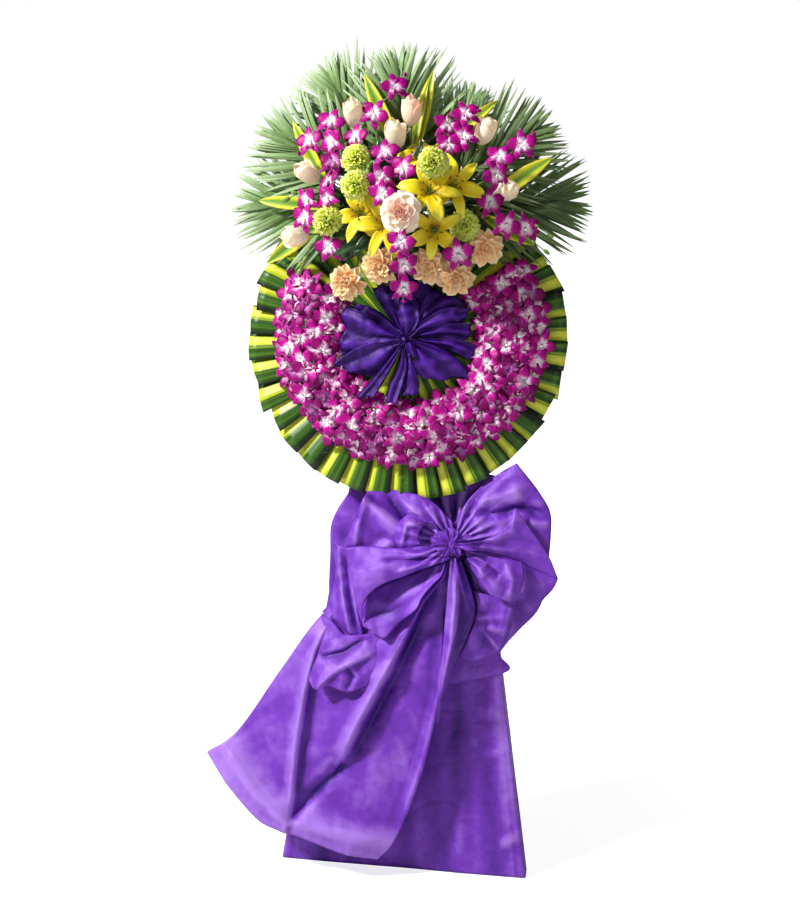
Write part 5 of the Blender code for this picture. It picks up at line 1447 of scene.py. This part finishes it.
BOW_SHEETS = {                       # edges at the top, bottom, left and right, then folds for fold_rise
    "panel_right": (
        ((103, -70, 717), (130, -62, 766), (171, -58, 806), (218, -58, 837)),
        ((112, -78, 670), (173, -76, 669), (231, -72, 666), (286, -66, 658)),
        ((103, -70, 717), (107, -74, 695), (112, -78, 670)),
        ((218, -58, 837), (260, -60, 787), (285, -62, 746), (288, -64, 702), (286, -66, 658)),
        ((((211, 835), (157, 789), (138, 753), (124, 721)), -8, 17, 17),
         (((142, 759), (194, 773), (228, 792)), 9, 23, 39),
         (((150, 736), (185, 741), (215, 752), (275, 747)), -12, 19, 23),
         (((243, 725), (266, 724), (287, 725)), 6, 15, 23))),
    "fold_right": (
        ((219, -86, 753), (221, -86, 753)),
        ((123, -90, 670), (174, -82, 664), (222, -74, 652), (270, -70, 631), (305, -70, 619)),
        ((219, -86, 753), (209, -90, 725), (187, -92, 703), (155, -92, 686), (123, -90, 670)),
        ((221, -86, 753), (237, -88, 731), (261, -86, 700), (287, -80, 662), (305, -70, 619)),
        ((((128, 673), (174, 688), (215, 711), (221, 746)), 4, 15, 23),)),
    "drape_right": (
        ((122, -84, 670), (174, -80, 664), (222, -73, 652), (270, -69, 630), (305, -69, 619)),
        ((194, -28, 462), (196, -28, 462)),
        ((122, -84, 670), (136, -78, 638), (155, -62, 588), (175, -46, 527), (194, -28, 462)),
        ((305, -69, 619), (296, -62, 598), (277, -54, 574), (249, -42, 537), (222, -34, 500),
         (196, -28, 462)),
        ((((233, 652), (236, 618), (234, 587)), 8, 14, 17),)),
    "pocket": (
        ((129, -90, 653), (160, -94, 659), (200, -88, 655), (236, -84, 650)),
        ((178, -97, 586), (197, -97, 579), (214, -94, 575), (229, -88, 577)),
        ((129, -90, 653), (145, -94, 628), (164, -97, 604), (178, -97, 586)),
        ((236, -84, 650), (241, -88, 626), (236, -90, 597), (229, -88, 577)),
        ((((168, 646), (183, 633), (195, 622)), -8, 17, 17),
         (((206, 648), (220, 616), (214, 582)), 6, 19, 14),
         (((137, 646), (158, 639), (163, 616)), 5, 15, 12))),
    "panel_low_right": (
        ((144, -70, 587), (172, -74, 581), (201, -74, 575), (228, -72, 574)),
        ((116, -32, 448), (141, -28, 438), (171, -30, 449), (196, -34, 463)),
        ((144, -70, 587), (151, -66, 557), (145, -56, 516), (130, -44, 481), (116, -32, 448)),
        ((228, -72, 574), (219, -62, 537), (206, -48, 498), (196, -34, 463)),
        ((((220, 568), (211, 532), (201, 488)), 9, 14, 35),
         (((161, 508), (181, 487), (197, 468)), 4, 8, 15),
         (((179, 573), (171, 530), (159, 460)), -5, 27, 27))),
    "loop_left": (
        ((-70, -62, 771), (-7, -60, 774), (53, -66, 759), (100, -74, 718)),
        ((-110, -80, 660), (-40, -82, 655), (39, -84, 660), (103, -86, 667)),
        ((-70, -62, 771), (-87, -74, 731), (-101, -80, 695), (-110, -80, 660)),
        ((100, -74, 718), (103, -80, 693), (103, -86, 667)),
        ((((-68, 767), (-80, 725), (-89, 662)), 9, 15, 27),
         (((34, 687), (-54, 742), (-89, 769)), 12, 44, 13),
         (((90, 695), (4, 720), (-38, 771)), -9, 22, 34),
         (((54, 755), (69, 722), (88, 680)), 6, 15, 15))),
    "puff_left": (
        ((2, -80, 722), (18, -88, 734), (38, -92, 731), (56, -92, 722)),
        ((-2, -92, 664), (14, -96, 658), (28, -98, 660), (44, -98, 666)),
        ((2, -80, 722), (-14, -88, 706), (-10, -91, 684), (-2, -92, 664)),
        ((56, -92, 722), (42, -102, 708), (38, -104, 690), (44, -98, 666)),
        ((((50, 719), (14, 712), (4, 668)), 7, 9, 16),)),
    "hollow_left": (
        ((35, -82, 723), (49, -84, 722), (61, -88, 719)),
        ((41, -84, 664), (51, -88, 665), (61, -94, 668)),
        ((35, -82, 723), (29, -80, 701), (30, -80, 682), (41, -84, 664)),
        ((61, -88, 719), (73, -92, 705), (72, -94, 686), (61, -94, 668)),
        ()),
    "flap": (
        ((-108, -88, 661), (-68, -92, 667), (1, -97, 667), (60, -99, 674), (102, -98, 663)),
        ((-71, -96, 519), (-67, -104, 552), (-51, -110, 581), (-25, -113, 600), (9, -111, 614),
         (52, -107, 633), (95, -100, 649)),
        ((-108, -88, 661), (-95, -96, 610), (-82, -98, 562), (-71, -96, 519)),
        ((102, -98, 663), (99, -99, 657), (95, -100, 649)),
        ((((-29, 643), (22, 647), (91, 657)), -7, 10, 15),
         (((-14, 665), (31, 659), (93, 659)), 4, 10, 12),
         (((-1, 623), (42, 637), (91, 653)), 5, 10, 12))),
    "flap_inside": (
        ((-74, -86, 540), (-58, -76, 571), (-30, -72, 590), (19, -74, 610), (83, -90, 639)),
        ((-68, -92, 510), (-49, -98, 503), (-24, -102, 491), (2, -100, 520), (28, -116, 544), (41, -122, 558),
         (50, -120, 579), (68, -112, 601), (84, -105, 620), (90, -100, 643)),
        ((-74, -86, 540), (-73, -88, 525), (-68, -92, 510)),
        ((83, -90, 639), (87, -95, 644), (90, -100, 643)),
        ((((-63, 530), (-12, 541), (34, 575), (72, 619)), -6, 15, 19),)),
    "drapes_left": (
        ((-143, -56, 671), (-122, -68, 663), (-96, -78, 656)),
        ((-159, -48, 525), (-131, -56, 512), (-107, -60, 490), (-70, -66, 477)),
        ((-143, -56, 671), (-132, -54, 619), (-137, -54, 571), (-147, -50, 542), (-159, -48, 525)),
        ((-96, -78, 656), (-82, -78, 578), (-70, -66, 477)),
        ((((-125, 657), (-115, 574), (-98, 487)), 8, 10, 14),
         (((-110, 642), (-100, 565), (-83, 485)), -7, 8, 10),
         (((-99, 643), (-87, 561), (-73, 482)), 7, 8, 10))),
    "swag_low_left": (
        ((-160, -54, 524), (-131, -62, 507), (-108, -70, 487), (-67, -72, 490), (-14, -72, 496)),
        ((-176, -82, 396), (-158, -92, 378), (-134, -96, 390), (-96, -98, 379), (-59, -90, 392)),
        ((-160, -54, 524), (-151, -64, 490), (-160, -74, 447), (-176, -82, 396)),
        ((-14, -72, 496), (-24, -78, 442), (-59, -90, 392)),
        ((((-154, 442), (-108, 455), (-66, 481)), -9, 10, 26),
         (((-158, 384), (-112, 424), (-50, 455)), 9, 30, 10),
         (((-100, 430), (-84, 408), (-96, 381)), -6, 8, 18))),
    "tail_broad": (
        ((97, -84, 647), (106, -88, 650), (115, -84, 648)),
        ((-389, -44, 226), (-334, -50, 163), (-273, -54, 105), (-229, -54, 88), (-188, -54, 77),
         (-102, -56, 50), (-32, -50, 36)),
        ((97, -84, 647), (-40, -60, 592), (-150, -46, 528), (-236, -46, 410), (-325, -46, 276),
         (-389, -44, 226)),
        ((115, -84, 648), (104, -68, 488), (84, -62, 367), (49, -58, 203), (4, -58, 84), (-32, -50, 36)),
        ((((100, 633), (49, 564), (10, 483), (-29, 405), (-71, 322), (-107, 239)), 34, 24, 84),
         (((47, 539), (17, 469), (-20, 387), (-60, 300), (-94, 229)), -12, 44, 24),
         (((-140, 512), (-167, 450), (-185, 368), (-199, 256), (-210, 106)), 20, 15, 130),
         (((-100, 225), (-148, 177), (-210, 106)), -14, 20, 30),
         (((-389, 226), (-334, 163), (-273, 105), (-229, 88), (-188, 75), (-102, 44), (-32, 28)), 26, 92, 92),
         (((-372, 258), (-322, 215), (-271, 157), (-210, 108), (-129, 93), (-68, 82), (-8, 74)), 14, 34, 40),
         (((87, 526), (85, 387), (58, 246), (13, 102)), 12, 15, 24))),
    "tail_narrow": (
        ((98, -92, 648), (108, -96, 653), (120, -92, 645)),
        ((76, -62, 322), (79, -62, 318), (83, -60, 321)),
        ((98, -92, 648), (95, -94, 570), (89, -88, 471), (84, -78, 398), (76, -62, 322)),
        ((120, -92, 645), (142, -84, 587), (149, -80, 546), (132, -76, 492), (110, -72, 440), (93, -66, 380),
         (83, -60, 321)),
        ((((108, 641), (112, 571), (108, 494), (90, 387)), 16, 17, 24),)),
}
BOW_CUTS = {                         # columns, rows, bulge, crumpling, flat width and length, flat area
    "panel_right": (50, 50, 8, 5.5, (0.22, 0.2), 0.0275),
    "fold_right": (50, 34, 4, 3.0, (0.2, 0.13), 0.01),
    "drape_right": (44, 50, 5, 4.5, (0.2, 0.22), 0.02),
    "pocket": (36, 34, 4, 6.5, (0.12, 0.1), 0.0078),
    "panel_low_right": (32, 44, 6, 6.0, (0.1, 0.16), 0.0115),
    "loop_left": (64, 44, 8, 6.5, (0.24, 0.14), 0.0255),
    "puff_left": (30, 34, 4, 3.5, (0.08, 0.08), 0.005),
    "hollow_left": (14, 20, -8, 1.0, (0.05, 0.07), 0.003),
    "flap": (64, 40, 9, 3.6, (0.22, 0.15), 0.0165),
    "flap_inside": (50, 16, 0, 1.5, (0.2, 0.08), 0.0132),
    "drapes_left": (28, 50, 3, 4.0, (0.09, 0.18), 0.013),
    "swag_low_left": (44, 40, 6, 5.0, (0.16, 0.13), 0.017),
    "tail_broad": (116, 130, 6, 3.6, (0.5, 0.72), 0.2),
    "tail_narrow": (18, 60, 0, 1.4, (0.07, 0.28), 0.0138),
}


KNOT_RUFFLES = (                     # angle, reach and half width
    (8, 62, 7), (-6, 58, 6), (20, 44, 6), (165, 44, 6), (190, 40, 7), (70, 30, 8), (110, 34, 7), (140, 36, 7),
    (-60, 30, 6), (-120, 32, 6),
)
STAPLES = (                          # place and turn
    (103, -110, 664, 80), (-139, -68, 487, 40), (-140, -78, 412, 30), (146, -20, 425, 0),
)


def knot():
    """The tight crumpled wrap in the middle of the bow, with the short ruffles round it."""
    bm = new_shape()
    for vert in ball(bm, Matrix.Identity(4), around=48, along=30):
        way = vert.co.copy()
        around = math.atan2(way.z, way.y)
        ridges = 0.09 * abs(math.sin(5 * around + 3 * way.x)) + 0.16 * crumple(way * 30, 20, 5.0)
        vert.co = KNOT + Vector((way.x * 17, way.y * 20, way.z * 25)) * (0.92 + ridges)
    draw = random.Random(6)
    for angle, reach, half in KNOT_RUFFLES:
        place = Matrix.Translation(KNOT - Vector((0, 12, 0))) @ turned(-angle, "Y") @ turned(90, "X")
        petal(bm, place @ turned(draw.uniform(-40, 40), "X"), reach, half, (24, -20), broad=0.6, blunt=0.6,
              root=0.7, fold=1.0, ruffle=1.5, columns=6, rows=10, phase=draw.uniform(0, 6))
    piece("bow_knot", bm, "cloth", ["bow"], FACE, thick=0.8)


def staples():
    """The wire staples that hold the cloth."""
    bm = new_shape()
    for x, y, z, turn in STAPLES:
        place = Matrix.Translation((x, y, z)) @ turned(turn, "Y")
        tube(bm, [place @ Vector((s, d, 0)) for s, d in ((-6, 5), (-6, 0), (6, 0), (6, 5))], [0.6] * 4, 6)
    piece("staples", bm, "nail", place=FACE)


def narrow_light(u, v):
    """The narrow tail is folded along its middle, and its right half lies in shade."""
    return 0.1 if u < 0.45 else -0.34 * (1 - 0.6 * v)


def tail_light(u, v):
    """The broad tail is paler on its left and along its hem, a painted highlight where they face the light,
    and deeper towards the knot, painted shade.
    """
    hem = min(1, max(0.0, 0.15 - (1 - v)) / 0.05)
    left = max(0.0, 1 - u / 0.45) * min(1, 2.2 * v)
    patches = 0.2 * noise.noise(Vector((6 * u, 5 * v, 2)))
    return 0.26 * hem + 0.1 * left - 0.34 * max(0.0, 1 - v / 0.36) + patches * (1 - hem)


def bow():
    """The bow's loops, folds and tails, all gathered at the knot."""
    for index, (name, (*edges, folds)) in enumerate(BOW_SHEETS.items()):
        columns, rows, bulge, rough, flat, area = BOW_CUTS[name]
        surface = patch(*edges, columns, rows)

        def push(point, u, v):
            inside = dome(u, v, 0.6)
            rise = bulge * inside + fold_rise(point, folds)
            rise += (0.35 + 0.65 * inside) * rough * crumple(point, 40 + 150 * flat[0], index)
            away = (point - KNOT).length
            gathers = 4.0 * pleats(point, 24, 90, index) * min(1, away / 30)
            return rise * min(1, away / 60) + gathers

        # Painted light and shade on the two tails
        pale = {"tail_broad": tail_light, "tail_narrow": narrow_light}.get(name)
        cloth(f"bow_{name}", surface, columns, rows, push, ["bow"], pale)
    knot()


# Camera and light


def photo_camera():
    """The photograph's view, with its shape of 800 by 900 pixels."""
    around, eye_height, distance = math.radians(8.5), 1.36, 2.62
    roll, focal_pixels, photo_height, film = math.radians(0.4), 1300, 900, 36
    stand, target = Vector((0.0016, -0.075, 0)), Vector((-0.014, 0, 0.825))
    eye = Vector((distance * math.sin(around), -distance * math.cos(around), eye_height)) + stand
    look = (target + stand - eye).normalized()
    right = look.cross(Vector((0, 0, 1))).normalized()
    up = right.cross(look)
    right, up = right * math.cos(roll) + up * math.sin(roll), up * math.cos(roll) - right * math.sin(roll)
    camera = bpy.data.objects.new("camera", bpy.data.cameras.new("camera"))
    bpy.context.scene.collection.objects.link(camera)
    camera.matrix_world = Matrix.Translation(eye) @ Matrix((right, up, -look)).transposed().to_4x4()
    camera.data.lens = film * focal_pixels / photo_height
    bpy.context.scene.camera = camera


def soft_light(name, at, towards, size, power):
    lamp = bpy.data.lights.new(name, "AREA")
    lamp.size = size
    lamp.energy = power
    obj = bpy.data.objects.new(name, lamp)
    bpy.context.scene.collection.objects.link(obj)
    way = Vector(towards) - Vector(at)
    obj.matrix_world = Matrix.Translation(at) @ way.to_track_quat("-Z", "Y").to_matrix().to_4x4()


def studio():
    """Soft light from three sides, a white background and a pale floor."""
    middle = (0, 0, 0.9)
    soft_light("key", (-2.8, -2.1, 3.5), middle, 0.5, 260)
    soft_light("fill", (1.6, -3.4, 1.9), middle, 1.6, 14)
    soft_light("back", (0.5, 3.2, 2.6), middle, 2.4, 40)
    world = bpy.data.worlds.new("studio_white")
    world.use_nodes = True
    tree = world.node_tree
    tree.nodes["Background"].inputs["Color"].default_value = (1, 1, 1, 1)
    seen = add_node(tree, "LightPath").outputs["Is Camera Ray"]
    tree.links.new(spread(tree, seen, 0.16, 1.0), tree.nodes["Background"].inputs["Strength"])
    bpy.context.scene.world = world
    bpy.context.scene.view_settings.view_transform = "Standard"
    pale_floor()


def pale_floor():
    """A round floor that keeps the shadow near the feet and glows into the white background further out."""
    bm = bmesh.new()
    bmesh.ops.create_circle(bm, cap_ends=True, segments=96, radius=40)
    mesh = bpy.data.meshes.new("floor")
    bm.to_mesh(mesh)
    bm.free()
    floor = bpy.data.objects.new("floor", mesh)
    bpy.context.scene.collection.objects.link(floor)

    def build(tree):
        away = add_node(tree, "VectorMath", {0: object_place(tree)}, operation="LENGTH").outputs["Value"]
        seen = add_node(tree, "LightPath").outputs["Is Camera Ray"]
        return {"glow": value_of(tree, "MULTIPLY", spread(tree, away, 0.7, 1.0, 0.5, 2.4), seen)}

    pale = srgb(236, 236, 236)
    mesh.materials.append(finish("pale_floor", build, 0.9, Base_Color=pale, Emission_Color=(1, 1, 1, 1)))


photo_camera()
studio()
for board_name in ("leg_left", "leg_right", "leg_back", "bar_low", "bar_middle", "bar_top"):
    board(board_name)
nails()
straw_pad()
straw_twine()
leaf_strips()
orchid_band()
band_bed()
rosette()
STEMS = new_shape()
orchid_sprays(STEMS)
lilies(STEMS)
lily_anthers()
full_blooms(STEMS)
rose(STEMS)
buds(STEMS)
sprigs(STEMS)
piece("flower_stems", STEMS, "stem")
for frond_index, frond_values in enumerate(FRONDS):
    palm_frond(f"palm_frond_{frond_index + 1}", *frond_values)
striped_tufts()
filler_leaves()
foam_block()
skirt()
swag()
bow()
staples()
